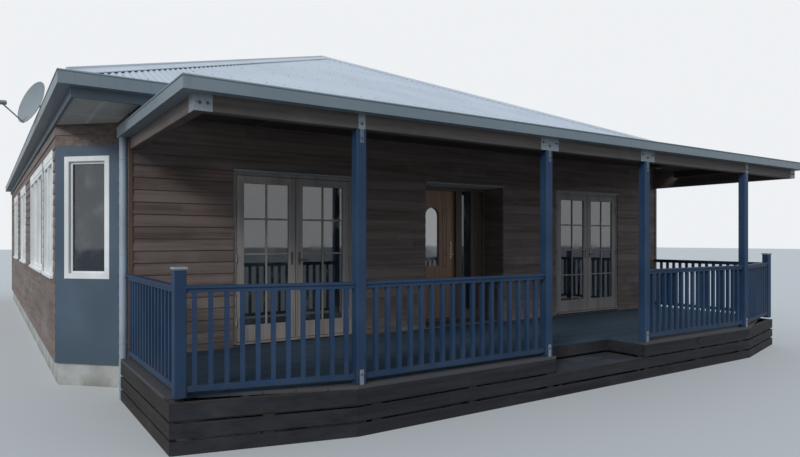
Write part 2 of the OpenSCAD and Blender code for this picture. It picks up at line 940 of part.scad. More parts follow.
module main_gutter() {
    color([0.52, 0.57, 0.59])
        translate([0, 0, gutter_top - gutter_h])
            difference() {
                linear_extrude(gutter_h)
                    eave_rectangle(gutter_w);
                translate([0, 0, gutter_t])
                    linear_extrude(gutter_h)
                        difference() {
                            eave_rectangle(gutter_w - gutter_t);
                            eave_rectangle(gutter_t);
                        }
                translate([0, 0, -cut])
                    linear_extrude(gutter_h + 2 * cut)
                        eave_rectangle(0);
            }
}

// Verandah roof

// Slopes up from three sides to the main fascia
module at_verandah_roof() {
    intersection() {
        translate([0, verandah_edge_x - verandah_edge_y, verandah_edge_h])
            children();
        translate([-verandah_edge_x, -verandah_edge_y, 0])
            cube([2 * verandah_edge_x, verandah_edge_y - fascia_y, soffit_h + fascia_top]);
    }
}

// Three slopes whose sheets stop short of each other at the hips
module verandah_roof() {
    color([0.78, 0.81, 0.83])
        at_verandah_roof()
            difference() {
                roof_sheets(2 * verandah_edge_x, 2 * verandah_edge_x, verandah_rise, 0, verandah_roof_t);
                translate([0, 0, -2 * verandah_roof_t])
                    linear_extrude(verandah_edge_x)
                        hip_bands(verandah_edge_x, 0, joint_gap);
            }
}

module verandah_rafters() {
    count = floor((half_front - beam_t - rafter_w) / rafter_gap);
    color([0.25, 0.22, 0.2])
        intersection() {
            at_verandah_roof()
                roof_sheets(2 * verandah_edge_x, 2 * verandah_edge_x, verandah_rise,
                    verandah_roof_t, rafter_h);
            for (i = [-count:count])
                translate([i * rafter_gap - rafter_w / 2, -verandah_d + beam_t, 0])
                    cube([rafter_w, verandah_d - beam_t - fascia_y, fascia_top]);
        }
}

// Boards that close the eave over the end beams, from the fascia back to the wall
module eave_closers() {
    for (s = [0, 1])
        mirror([s, 0, 0])
            translate([-verandah_half, -fascia_y + joint_gap, beam_top + joint_gap])
                cube([fascia_t, fascia_y - joint_gap, soffit_h - fascia_drop - beam_top - 2 * joint_gap]);
}

// The beam along the front with a beam back to the wall at each end
module verandah_beams() {
    height = beam_top - beam_base;
    color([0.36, 0.3, 0.26]) {
        translate([-verandah_half, -verandah_d, beam_base])
            cube([2 * verandah_half, beam_t, height]);
        for (s = [0, 1])
            mirror([s, 0, 0])
                translate([-verandah_half, -verandah_d, beam_base])
                    cube([beam_t, verandah_d, height]);
        eave_closers();
    }
}

// Outline in plan of the verandah's gutter, out from the beam's outer face
module verandah_rectangle(out) {
    translate([-verandah_half - out, -verandah_d - out])
        square([2 * (verandah_half + out), verandah_d + gutter_end_y + out]);
}

// The space inside the beams' outer faces, open to the back
module verandah_opening() {
    translate([-verandah_half, -verandah_d])
        square([2 * verandah_half, verandah_d + gutter_end_y + cut]);
}

module verandah_gutter() {
    // The back wall stops under the sheets
    back_h = verandah_edge_h - verandah_roof_t - verandah_gutter_base;
    color([0.5, 0.56, 0.58])
        translate([0, 0, verandah_gutter_base])
            difference() {
                linear_extrude(verandah_gutter_h)
                    verandah_rectangle(verandah_gutter_w);
                translate([0, 0, gutter_t])
                    linear_extrude(verandah_gutter_h)
                        difference() {
                            verandah_rectangle(verandah_gutter_w - gutter_t);
                            verandah_rectangle(gutter_t);
                            stop_ends();
                        }
                translate([0, 0, back_h])
                    linear_extrude(verandah_gutter_h)
                        verandah_rectangle(verandah_gutter_w - gutter_t);
                translate([0, 0, -cut])
                    linear_extrude(verandah_gutter_h + 2 * cut)
                        verandah_opening();
            }
}

// The closed back ends of the side gutters
module stop_ends() {
    translate([-verandah_half - verandah_gutter_w, gutter_end_y - gutter_t])
        square([2 * (verandah_half + verandah_gutter_w), gutter_t]);
}

// Pipes from the side gutters to the ground, each with two straps to the wall
module downpipes() {
    pipe_x = half_front + verandah_gutter_w / 2;
    color([0.55, 0.62, 0.68])
        for (s = [0, 1])
            mirror([s, 0, 0]) {
                translate([pipe_x, pipe_y, 0])
                    cylinder(d = pipe_d, h = verandah_gutter_base, $fn = turned);
                for (z = [floor_h + strap_l, beam_base - strap_l])
                    translate([half_front, pipe_y - strap_w / 2, z])
                        cube([verandah_gutter_w / 2, strap_w, strap_w]);
            }
}

// Posts and railings

module post_at(x, y, height) {
    translate([x - post_w / 2, y - post_w / 2, deck_h])
        cube([post_w, post_w, height]);
}

module newels() {
    for (s = [-1, 1]) {
        post_at(s * newel_x, newel_y, newel_h);
        translate([s * newel_x, newel_y, deck_h + newel_h])
            cube([post_w + 2 * newel_cap, post_w + 2 * newel_cap, 2 * newel_cap], center = true);
    }
}

module verandah_posts() {
    color([0.2, 0.3, 0.47]) {
        for (x = post_xs)
            post_at(x, post_y, beam_base - deck_h);
        newels();
    }
}

// A straight railing from one point to another, with its balusters evenly spaced
module railing(from, to) {
    length = norm(to - from);
    count = floor((length - post_w) / baluster_gap);
    translate([from[0], from[1], deck_h])
        rotate(atan2(to[1] - from[1], to[0] - from[0])) {
            translate([0, -rail_w / 2, foot_gap])
                cube([length, rail_w, foot_rail_h]);
            translate([0, -rail_w / 2, rail_top - rail_cap_t - top_rail_h])
                cube([length, rail_w, top_rail_h + lap]);
            translate([0, -rail_cap_w / 2, rail_top - rail_cap_t])
                cube([length, rail_cap_w, rail_cap_t]);
            for (i = [0:count - 1])
                translate([length / 2 + (i - (count - 1) / 2) * baluster_gap - baluster_w / 2,
                        -baluster_w / 2, foot_gap + foot_rail_h / 2])
                    cube([baluster_w, baluster_w, rail_top - rail_cap_t - foot_gap - foot_rail_h / 2]);
        }
}

module railings() {
    color([0.2, 0.3, 0.47])
        difference() {
            for (s = [-1, 1]) {
                railing([s * post_out_x, post_y], [s * post_in_x, post_y]);
                railing([s * newel_x, newel_y], [s * post_out_x, post_y]);
                railing([s * newel_x, newel_y], [s * newel_x, 0]);
            }
            for (x = post_xs)
                post_at(x, post_y, beam_base - deck_h);
            newels();
        }
}

// Galvanised plates, straps and shoes
module post_brackets() {
    plate_h = verandah_gutter_base - beam_base;
    color([0.62, 0.65, 0.66]) {
        for (x = post_xs) {
            plate_l = abs(x) == post_in_x ? wide_plate_l : narrow_plate_l;
            translate([x - plate_l / 2, -verandah_d - plate_t, beam_base])
                cube([plate_l, plate_t, plate_h]);
            translate([x - strap_w / 2, -verandah_d - plate_t, beam_base - strap_l])
                cube([strap_w, plate_t, strap_l + lap]);
            translate([x - strap_w / 2, -verandah_d - plate_t, deck_h])
                cube([strap_w, plate_t, shoe_h]);
        }
        for (s = [0, 1])
            mirror([s, 0, 0]) {
                translate([-verandah_half - plate_t, -verandah_d - plate_t, beam_base])
                    cube([corner_plate_l, plate_t, plate_h]);
                translate([-verandah_half - plate_t, -verandah_d - plate_t, beam_base])
                    cube([plate_t, corner_plate_l, plate_h]);
            }
    }
}

// Deck

// The step recess in plan, grown by an inset on its three closed sides
module recess(inset) {
    translate([-step_x - inset, -deck_d - cut])
        square([2 * (step_x + inset), step_d + inset + cut]);
}

// A board along one side of the deck, mitred to its neighbours with a gap at each end
module mitred_board(i, inset, thick, gap, z0, z1) {
    outer = deck(inset);
    inner = deck(inset + thick);
    back = unit(outer[i + 1] - outer[i]) * gap / 2;
    translate([0, 0, z0])
        linear_extrude(z1 - z0)
            polygon([outer[i] + back, outer[i + 1] - back, inner[i + 1] - back, inner[i] + back]);
}

// Deck boards in three areas: each side of the step recess, and behind it
module deck_floor() {
    color([0.36, 0.42, 0.48])
        translate([0, 0, deck_joist_top])
            linear_extrude(deck_board_t)
                difference() {
                    polygon(deck(0));
                    recess(0);
                    for (s = [-1, 1])
                        translate([s * (step_x + board_gap / 2) - board_gap / 2, -deck_d])
                            square([board_gap, deck_d]);
                }
}

// Edge joists round the deck and the recess, with joists between them back to the wall
module deck_frame() {
    height = deck_joist_top - deck_joist_base;
    rim = behind_skirt + joist_w;
    color([0.3, 0.26, 0.23]) {
        difference() {
            for (i = [0:4])
                mitred_board(i, behind_skirt, joist_w, joint_gap, deck_joist_base, deck_joist_top);
            translate([0, 0, deck_joist_base - cut])
                linear_extrude(height + 2 * cut)
                    recess(behind_skirt);
        }
        translate([0, 0, deck_joist_base])
            linear_extrude(height) {
                recess_sides(behind_skirt, joist_w, rim + joint_gap);
                inner_joists(rim + joint_gap);
            }
    }
}

// Three pieces in plan round the step recess: the back one between the two side ones
module recess_sides(inset, thick, front) {
    side = step_x + inset;
    back = -deck_d + step_d + inset;
    for (s = [-1, 1])
        translate([s * (side + thick / 2) - thick / 2, -deck_d + front])
            square([thick, step_d + inset + thick - front]);
    translate([-side + joint_gap, back])
        square([2 * (side - joint_gap), thick]);
}

module inner_joists(inset) {
    count = floor((deck_x - inset - joist_w) / joist_gap);
    difference() {
        intersection() {
            polygon(deck(inset));
            for (i = [-count:count])
                translate([i * joist_gap - joist_w / 2, -deck_d])
                    square([joist_w, deck_d]);
        }
        recess(inset);
    }
}

// A pile with its outer face against the skirting, part of the way along one side of the deck
module pile(i, way) {
    from = deck(behind_skirt)[i];
    to = deck(behind_skirt)[i + 1];
    translate(from + (to - from) * way)
        rotate(atan2(to[1] - from[1], to[0] - from[0]))
            translate([-post_w / 2, 0, 0])
                cube([post_w, post_w, deck_joist_base - joint_gap]);
}

module deck_piles() {
    color([0.32, 0.27, 0.23])
        for (p = pile_ways) {
            pile(p[0], p[1]);
            pile(4 - p[0], 1 - p[1]);
        }
}

// A wide board at the top and two narrow ones below it, with open gaps between them
module deck_skirting() {
    wide_foot = step_h + skirt_gap;
    mid_foot = step_h - skirt_board_h;
    color([0.3, 0.25, 0.23]) {
        difference() {
            for (i = [0:4])
                mitred_board(i, 0, skirt_t, board_gap, wide_foot, deck_joist_top);
            translate([0, 0, wide_foot - cut])
                linear_extrude(deck_h)
                    recess(skirt_t + board_gap);
        }
        for (i = [0:4]) {
            mitred_board(i, 0, skirt_t, board_gap, 0, mid_foot - skirt_gap);
            mitred_board(i, 0, skirt_t, board_gap, mid_foot, step_h);
        }
        translate([0, 0, wide_foot])
            linear_extrude(deck_joist_top - wide_foot)
                recess_sides(0, skirt_t, 0);
    }
}

// A tread behind the skirting, on two bearers
module entry_step() {
    depth = step_d - skirt_t - board_gap;
    color([0.62, 0.58, 0.52])
        translate([0, -deck_d + skirt_t + joint_gap, 0]) {
            translate([-step_x + board_gap, 0, step_h - tread_t])
                cube([2 * (step_x - board_gap), depth, tread_t]);
            for (s = [-1, 1])
                translate([s * (step_x - post_w) - joist_w / 2, 0, 0])
                    cube([joist_w, depth, step_h - tread_t - joint_gap]);
        }
}

// Satellite dish

// Turns its children so that their +Z points out to the left, up, and a little to the front
module at_dish() {
    translate([dish_x, dish_y, dish_h])
        rotate([0, -90 + dish_tilt, dish_turn])
            children();
}

module dish_bowl_shape() {
    rotate_extrude($fn = turned)
        intersection() {
            translate([0, dish_r])
                difference() {
                    circle(r = dish_r, $fn = 4 * turned);
                    circle(r = dish_r - dish_t, $fn = 4 * turned);
                }
            square([dish_d / 2, dish_bowl + dish_t]);
        }
}

// The arm from the dish's lower edge and the receiver at its end, which looks back at the dish
module dish_feed() {
    rise = feed_l - dish_bowl;
    back = dish_d / 2 - feed_drop;
    translate([-dish_d / 2, 0, dish_bowl])
        rotate([0, atan2(back, rise), 0])
            cylinder(d = mast_d / 2, h = norm([back, rise]), $fn = turned);
    translate([-feed_drop, 0, feed_l])
        rotate([0, -atan2(feed_drop, feed_l), 0])
            cylinder(d = feed_d, h = 2 * feed_d, center = true, $fn = turned);
}

// The space of the main roof with a small gap over it
module roof_space() {
    at_main_roof()
        translate([0, 0, joint_gap])
            hip_block(roof_w, roof_l, roof_rise, roof_t);
}

// A dish on a short mast, whose foot follows the slope of the roof
module satellite_dish() {
    color([0.8, 0.81, 0.8]) {
        at_dish() {
            dish_bowl_shape();
            dish_feed();
            translate([0, 0, -boss_l])
                cylinder(d = mast_d, h = boss_l + dish_t / 2, $fn = turned);
        }
        difference() {
            translate([mast_x, mast_y, roof_edge_h])
                cylinder(d = mast_d, h = mast_top - roof_edge_h, $fn = turned);
            roof_space();
        }
        intersection() {
            at_main_roof()
                roof_sheets(roof_w, roof_l, roof_rise, -joint_gap - cap_t, cap_t);
            translate([mast_x, mast_y, roof_edge_h])
                cube([4 * mast_d, 4 * mast_d, 2 * eave_h], center = true);
        }
    }
}

foundation();
floor_plate();  // floor
front_wall_left();
front_wall_mid_left();
front_wall_mid_right();
front_wall_right();
front_wall_head();
side_run(6, 8);  // left_corner_wall
side_run(1, 3);  // right_corner_wall
side_run(5, 6);  // left_side_wall
side_run(3, 4);  // right_side_wall
side_run(4, 5);  // back_wall
corner_panels();
window_frames();
window_glass();
french_door_frames();
head_flashings();
french_leaf(-1, -1);  // left_door_leaf_1
french_leaf(-1, 1);  // left_door_leaf_2
french_leaf(1, -1);  // right_door_leaf_1
french_leaf(1, 1);  // right_door_leaf_2
french_glass(-1, -1);  // left_door_glass_1
french_glass(-1, 1);  // left_door_glass_2
french_glass(1, -1);  // right_door_glass_1
french_glass(1, 1);  // right_door_glass_2
entry_frame();
front_door();
front_door_glass();
front_door_handle();
main_roof();
roof_caps();
soffit();
fascia();
main_gutter();
verandah_roof();
verandah_rafters();
verandah_beams();
verandah_gutter();
downpipes();
post_brackets();
satellite_dish();
verandah_posts();
railings();
deck_floor();
deck_frame();
deck_piles();
deck_skirting();
entry_step();
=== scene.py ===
"""Looks of the beach house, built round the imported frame.

Metres, +X along the front to the right, +Y into the house, +Z up from the foundation's foot.
"""

import math

import bpy
from mathutils import Matrix, Vector


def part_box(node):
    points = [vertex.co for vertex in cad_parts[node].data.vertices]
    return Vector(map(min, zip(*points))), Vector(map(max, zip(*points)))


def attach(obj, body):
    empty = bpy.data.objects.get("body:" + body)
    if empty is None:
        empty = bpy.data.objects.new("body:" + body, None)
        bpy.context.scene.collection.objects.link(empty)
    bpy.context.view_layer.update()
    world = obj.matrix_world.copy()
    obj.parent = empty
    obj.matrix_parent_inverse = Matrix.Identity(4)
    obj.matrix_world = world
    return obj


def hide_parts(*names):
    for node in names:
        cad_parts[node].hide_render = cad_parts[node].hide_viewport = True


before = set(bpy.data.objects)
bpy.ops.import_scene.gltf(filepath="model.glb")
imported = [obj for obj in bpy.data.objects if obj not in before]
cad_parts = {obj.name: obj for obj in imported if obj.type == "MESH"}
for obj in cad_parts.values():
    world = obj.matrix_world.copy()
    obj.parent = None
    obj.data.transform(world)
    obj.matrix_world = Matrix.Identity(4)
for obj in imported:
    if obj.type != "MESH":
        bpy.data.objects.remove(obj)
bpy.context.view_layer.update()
bpy.ops.object.select_all(action="DESELECT")


def edge(node, end, axis):
    """Where a node's box starts (end 0) or stops (end 1) along an axis."""
    return round(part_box(node)[end][axis], 5)


X, Y, Z = range(3)
# Left and right
SIDES = (-1, 1)
# Boards keep this clear of frames, and pieces that meet in one plane are staggered by the other
CLEAR, STAGGER = 0.002, 0.001

# Walls: half the width of the front and of the house, the splay and return at each front
# corner, the depth, and the foot and spacing of the weatherboards
HALF_FRONT = edge("front_wall_head", 1, X)
HALF_SIDE = edge("right_side_wall", 1, X)
SPLAY = round(HALF_SIDE - HALF_FRONT, 5)
SIDE_START = edge("right_side_wall", 0, Y)
RETURN = SIDE_START - SPLAY
DEPTH = edge("back_wall", 1, Y)
SOFFIT = edge("soffit", 0, Z)
CLAD_FOOT = edge("back_wall", 0, Z)
COURSE = 0.132

# Doors: the ways through the front wall, their head, the entry's recess and the floor in it
ENTRY_HALF = edge("front_wall_mid_right", 0, X)
FRENCH_IN = edge("front_wall_mid_right", 1, X)
FRENCH_OUT = edge("front_wall_right", 0, X)
DOOR_HEAD = edge("front_wall_head", 0, Z)
RECESS = edge("entry_frame", 0, Y)
FLOOR = edge("floor", 1, Z)

# Windows: the trim round them and over them, their sill and head, the start, width and
# lights of each one at the side, and the middles and width of those at the back
TRIM, HEAD_TRIM = 0.02, 0.09
SILL = edge("window_frames", 0, Z) + TRIM
HEAD = edge("window_frames", 1, Z) - HEAD_TRIM
CORNER_HEAD = SOFFIT - 0.375
CORNER_WINDOW_W = 0.59
SIDE_WINDOWS = [(1.47, 1.26, 2), (3.0, 2.6, 3), (7.2, 1.8, 2), (10.5, 1.8, 2)]
BACK_WINDOWS, BACK_WINDOW_W = (-3, 0, 3), 1.8

# Main roof: the reach, edge and pitch of its sheets, and the spacing of their crests
ROOF_X = edge("main_roof", 1, X)
ROOF_Y = -edge("main_roof", 0, Y)
ROOF_EDGE = edge("roof_caps", 0, Z)
ROOF_RISE = 0.43
WAVE = 0.0762

# Verandah roof, whose sheets lie a little over the plain ones, clear of the rafters
FASCIA_Y = -edge("fascia", 0, Y)
VER_X = edge("verandah_roof", 1, X)
VER_Y = -edge("verandah_roof", 0, Y)
VER_EDGE = edge("verandah_roof", 0, Z) + 0.015
VER_RISE = 0.13
VER_LIFT = 0.0045

# Deck: its outline with the start and depth of its aslant ends, its boards, and the posts
DECK_X = edge("deck_floor", 1, X)
DECK_Y = -edge("deck_floor", 0, Y)
CANT_X = 3.25
CANT = 0.39
DECK_UNDER = edge("deck_floor", 0, Z)
DECK_TOP = edge("deck_floor", 1, Z)
DECK_BOARD = 0.098
STEP_X = edge("entry_step", 1, X) + CLEAR
STEP_Y = 1.9
POST_IN_X, POST_OUT_X = 0.865, 3.205
NEWEL_TOP = 1.47


# Shader sockets as values in Python expressions

def maths(operation, swapped=False):
    """A method of Wire that adds a Math node, with the other value first where swapped."""
    def method(self, *other):
        values = (*other, self) if swapped else (self, *other)
        settings = {"operation": operation}
        return self.finish.node("ShaderNodeMath", settings, dict(enumerate(values)))
    return method


class Wire:
    """A socket of a finish that Python's operators lead through Math nodes."""

    def __init__(self, finish, socket):
        self.finish, self.socket = finish, socket

    __add__ = maths("ADD")
    __radd__ = maths("ADD", True)
    __sub__ = maths("SUBTRACT")
    __rsub__ = maths("SUBTRACT", True)
    __mul__ = maths("MULTIPLY")
    __rmul__ = maths("MULTIPLY", True)
    __truediv__ = maths("DIVIDE")
    __gt__ = maths("GREATER_THAN")
    __lt__ = maths("LESS_THAN")
    __abs__ = maths("ABSOLUTE")
    floor = maths("FLOOR")
    fract = maths("FRACT")
    most = maths("MAXIMUM")
    least = maths("MINIMUM")

    def ramp(self, low, high):
        """0 below low, 1 above high, smooth between."""
        return self.finish.node("ShaderNodeMapRange", {"interpolation_type": "SMOOTHSTEP"},
                                {"Value": self, "From Min": low, "From Max": high})


class Finish:
    """A material whose pattern is written as expressions on Object coordinates."""

    def __init__(self, name, color, roughness, shine=0.5, **sockets):
        self.material = bpy.data.materials.new(name)
        self.material.use_nodes = True
        self.tree = self.material.node_tree
        self.shader = self.tree.nodes["Principled BSDF"]
        self.shader.inputs["Base Color"].default_value = (*color, 1)
        self.shader.inputs["Roughness"].default_value = roughness
        self.shader.inputs["Specular IOR Level"].default_value = shine
        for key, value in sockets.items():
            self.shader.inputs[key].default_value = value
        self.place = self.node("ShaderNodeTexCoord", {}, {}, "Object")
        parts = self.tree.nodes.new("ShaderNodeSeparateXYZ")
        self.tree.links.new(self.place.socket, parts.inputs[0])
        self.x, self.y, self.z = (Wire(self, parts.outputs[i]) for i in range(3))

    def node(self, kind, settings, values, out=0):
        node = self.tree.nodes.new(kind)
        for key, value in settings.items():
            setattr(node, key, value)
        for key, value in values.items():
            if isinstance(value, Wire):
                self.tree.links.new(value.socket, node.inputs[key])
            else:
                node.inputs[key].default_value = value
        return Wire(self, node.outputs[out])

    def stretched(self, sx, sy, sz, turn=0.0):
        """Object coordinates scaled for each axis, after a turn about Z."""
        return self.node("ShaderNodeMapping", {"vector_type": "POINT"},
                         {"Vector": self.place, "Rotation": (0, 0, turn), "Scale": (sx, sy, sz)})

    def noise(self, size, detail, rough, at=None, shift=None):
        """Noise from 0 to 1 whose blobs are about size across, in metres where at isn't given."""
        values = {"Scale": 1.0 / size, "Detail": detail, "Roughness": rough,
                  "Vector": at or self.place}
        settings = {}
        if shift is not None:
            settings["noise_dimensions"] = "4D"
            values["W"] = shift
        return self.node("ShaderNodeTexNoise", settings, values, "Fac")

    def random(self, value):
        return self.node("ShaderNodeTexWhiteNoise", {"noise_dimensions": "1D"}, {"W": value},
                         "Value")

    def mix(self, share, a, b, blend="MIX"):
        values = {0: share}
        for i, color in ((6, a), (7, b)):
            values[i] = color if isinstance(color, Wire) else (*color, 1)
        settings = {"data_type": "RGBA", "blend_type": blend}
        return self.node("ShaderNodeMix", settings, values, 2)

    def feed(self, socket, wire):
        self.tree.links.new(wire.socket, self.shader.inputs[socket])

    def relief(self, height, depth, strength):
        values = {"Strength": strength, "Distance": depth, "Height": height}
        self.feed("Normal", self.node("ShaderNodeBump", {}, values, "Normal"))


# Finishes

def grain(f, axis, turn=0.0, shift=None):
    """Fine timber grain that runs along an axis, 0 to 1."""
    along, across = 1.1, 24.0
    at = f.stretched(*(along if letter == axis else across for letter in "xyz"), turn)
    fine = f.noise(1.0, 5.0, 0.62, at, shift)
    broad = f.noise(3.2, 2.0, 0.5, at, shift)
    return fine * 0.6 + broad * 0.4


def boarding(name, along, turn=0.0):
    """Brown stained weatherboards that have weathered unevenly, board by board."""
    f = Finish(name, (0.18, 0.13, 0.11), 0.62, 0.35)
    board_length = 3.6
    height = (f.z - CLAD_FOOT) / COURSE
    course = height.floor()
    length = {"x": f.x, "y": f.y, "d": f.x + f.y}[along]
    joint = f.random(course * 1.37 + 5.1)
    piece = ((length + joint * board_length) / board_length).floor()
    pick = f.random(course * 7.31 + piece * 3.77)
    lines = grain(f, "y" if along == "y" else "x", turn, course + piece * 0.37)
    color = f.mix(pick.ramp(0.1, 0.9), (0.143, 0.106, 0.094), (0.186, 0.139, 0.12))
    dark = f.mix(1.0, color, (0.55, 0.5, 0.48), "MULTIPLY")
    color = f.mix(lines.ramp(0.42, 0.66), color, dark)
    worn = f.noise(0.6, 4.0, 0.6, None, course * 0.22)
    grey = worn.ramp(0.48, 0.75) * 0.36
    color = f.mix(grey, color, (0.24, 0.215, 0.2))
    # A band at the top of each course, under the lap of the board above, is darkened as painted
    # shade, and rain bleaches the lower courses
    color = f.mix(height.fract().ramp(0.86, 0.99) * 0.5, color, (0.07, 0.05, 0.045))
    low = 1.0 - f.z.ramp(0.3, 1.5)
    color = f.mix(low * worn.ramp(0.35, 0.7) * 0.35, color, (0.3, 0.26, 0.235))
    f.feed("Base Color", color)
    f.feed("Roughness", 0.52 + lines * 0.25)
    f.relief(lines * 0.7 + worn * 0.3, 0.004, 0.7)
    return f.material


def timber(name, color, dark, axis, roughness, wear, bump, pale, shine=0.5):
    """Stained timber with its grain along an axis, and worn patches."""
    f = Finish(name, color, roughness, shine)
    lines = grain(f, axis)
    patch = f.noise(0.6, 4.0, 0.6)
    tone = f.mix(lines.ramp(0.38, 0.68), color, dark)
    tone = f.mix(patch.ramp(0.5, 0.78) * wear, tone, pale)
    f.feed("Base Color", tone)
    f.feed("Roughness", roughness - 0.08 + patch * 0.2)
    f.relief(lines, bump, 0.8)
    return f.material


def paint(name, color, wear_color, roughness, wear, axis="z", bump=0.0015, foot=None,
          dirt=None, shine=0.5):
    """Brushed paint with faint brush marks, chalky fading, chips and dirt near its foot."""
    f = Finish(name, color, roughness, shine)
    brush = grain(f, axis)
    fade = f.noise(0.9, 3.0, 0.55)
    chips = f.noise(0.035, 5.0, 0.65)
    tone = f.mix(fade.ramp(0.38, 0.68), color, tuple(c * 1.22 + 0.012 for c in color))
    tone = f.mix(brush.ramp(0.5, 0.72) * 0.22, tone, tuple(c * 0.62 for c in color))
    worn = chips.ramp(0.66, 0.73) * fade.ramp(0.42, 0.6)
    tone = f.mix(worn * wear, tone, wear_color)
    if foot is not None:
        near = 1.0 - f.z.ramp(foot, foot + 0.35)
        splashes = f.noise(0.12, 4.0, 0.6).ramp(0.4, 0.7)
        tone = f.mix(near * splashes * 0.45, tone, dirt)
    f.feed("Base Color", tone)
    f.feed("Roughness", roughness + fade * 0.2 + worn * 0.25)
    f.relief(brush * 0.5 - worn * 0.5, bump, 0.6)
    return f.material


def coated_steel(name, color, dull, roughness, streaks, flat=False, bump=0.001):
    """Painted steel with chalky patches, and dirt that runs down it or, if flat, lies in clouds."""
    f = Finish(name, color, roughness)
    broad = f.noise(1.1, 3.0, 0.55)
    at = f.stretched(0.9, 0.9, 0.9) if flat else f.stretched(9, 9, 0.7)
    runs = f.noise(1.0, 4.0, 0.6, at)
    speck = f.noise(0.02, 3.0, 0.6)
    tone = f.mix(broad.ramp(0.35, 0.7) * 0.55, color, dull)
    tone = f.mix(runs.ramp(0.54, 0.76) * streaks, tone, tuple(c * 0.5 for c in dull))
    f.feed("Base Color", tone)
    f.feed("Roughness", roughness - 0.06 + broad * 0.25)
    f.relief(speck, bump, 0.4)
    return f.material


def galvanised(name):
    """Spangled zinc, dull and rusting a little in patches."""
    f = Finish(name, (0.24, 0.27, 0.3), 0.55, Metallic=0.5)
    spangle = f.node("ShaderNodeTexVoronoi", {"feature": "F1"},
                     {"Vector": f.place, "Scale": 90.0}, "Color")
    grey = f.node("ShaderNodeRGBToBW", {}, {0: spangle})
    tone = f.mix(grey, (0.19, 0.225, 0.25), (0.3, 0.34, 0.37))
    stain = f.noise(0.05, 4.0, 0.65)
    marks = stain.ramp(0.58, 0.72) * 0.25
    tone = f.mix(marks, tone, (0.26, 0.13, 0.07))
    # The straps on the posts are painted over, thinly, with the posts
    strap_foot, strap_top, behind_posts = 2.3, 2.657, -2.0
    on_post = (f.z > strap_foot) * (f.z < strap_top) * (f.y < behind_posts)
    tone = f.mix(on_post * 0.75, tone, (0.055, 0.1, 0.17))
    f.feed("Base Color", tone)
    f.feed("Roughness", 0.5 + grey * 0.14 + marks * 0.3)
    f.feed("Metallic", 0.5 - marks * 0.45)
    f.relief(stain, 0.0006, 0.5)
    return f.material


def masonry(name):
    """Grey concrete, cast in place, with pores, and stains near its foot."""
    f = Finish(name, (0.42, 0.42, 0.4), 0.85)
    coarse = f.noise(0.35, 5.0, 0.6)
    pores = f.noise(0.012, 3.0, 0.6)
    tone = f.mix(coarse.ramp(0.35, 0.7), (0.46, 0.46, 0.44), (0.34, 0.34, 0.32))
    tone = f.mix(pores.ramp(0.62, 0.74) * 0.6, tone, (0.2, 0.2, 0.19))
    low = 1.0 - f.z.ramp(0.0, 0.16)
    tone = f.mix(low * coarse.ramp(0.3, 0.6) * 0.6, tone, (0.2, 0.19, 0.15))
    f.feed("Base Color", tone)
    f.relief(coarse * 0.4 - pores.ramp(0.6, 0.75) * 0.6, 0.004, 0.9)
    return f.material


def pane(name, color, alpha, waves, ior):
    """Old float glass, a little wavy, with a film of dust; its dark colour and part opacity are
    painted shade standing in for the dim rooms behind.
    """
    f = Finish(name, color, 0.03, 1.0, IOR=ior, Alpha=alpha)
    film = f.noise(0.3, 4.0, 0.6)
    f.feed("Base Color", f.mix(film.ramp(0.5, 0.8) * 0.2, color, (0.45, 0.46, 0.45)))
    f.feed("Roughness", 0.02 + film.ramp(0.45, 0.8) * 0.08)
    f.relief(f.noise(0.35, 1.0, 0.4), waves, 0.5)
    return f.material


def decking(name):
    """Worn blue-grey stain on the deck boards, greyest where they are walked on."""
    f = Finish(name, (0.15, 0.2, 0.26), 0.7, 0.25)
    board = (f.y / DECK_BOARD).floor()
    pick = f.random(board * 3.1)
    lines = grain(f, "x", 0.0, board)
    worn = f.noise(0.7, 4.0, 0.6)
    tone = f.mix(pick, (0.026, 0.05, 0.08), (0.042, 0.072, 0.108))
    tone = f.mix(lines.ramp(0.45, 0.7) * 0.7, tone, (0.025, 0.038, 0.055))
    path = worn.ramp(0.42, 0.7) * (1.0 - (abs(f.x) / 2.2).ramp(0.2, 1.0) * 0.6)
    tone = f.mix(path * 0.45, tone, (0.075, 0.095, 0.11))
    # The outermost boards keep the brown of the skirting
    front = f.y + DECK_Y - (abs(f.x) - CANT_X).most(0.0) * (CANT / (DECK_X - CANT_X))
    side = DECK_X - abs(f.x)
    tone = f.mix((1.0 - front.least(side).ramp(0.07, 0.16)) * 0.8, tone, (0.075, 0.068, 0.066))
    f.feed("Base Color", tone)
    f.feed("Roughness", 0.58 + worn * 0.25)
    f.relief(lines, 0.003, 0.8)
    return f.material


def floor_boards(name):
    """Polished boards inside, and a dark stained sill and porch floor outside the doors."""
    f = Finish(name, (0.36, 0.22, 0.12), 0.4)
    board_width, seam = 0.085, 0.035
    # How far the sills reach into the doorways, and the entry's floor back and to each side
    sill_in, porch_in, porch_x = 0.06, 0.4, 0.76
    across = f.x / board_width
    board = across.floor()
    lines = grain(f, "y", 0.0, board)
    tone = f.mix(f.random(board * 2.3), (0.4, 0.25, 0.14), (0.31, 0.185, 0.1))
    tone = f.mix(lines.ramp(0.42, 0.7) * 0.6, tone, (0.24, 0.14, 0.075))
    tone = f.mix(across.fract() < seam, tone, (0.06, 0.035, 0.02))
    outside = (f.y < sill_in).most((f.y < porch_in) * (abs(f.x) < porch_x))
    tone = f.mix(outside, tone, f.mix(lines, (0.04, 0.048, 0.06), (0.065, 0.072, 0.08)))
    f.feed("Base Color", tone)
    f.feed("Roughness", 0.32 + lines * 0.2 + outside * 0.3)
    f.relief(lines, 0.002, 0.6)
    return f.material


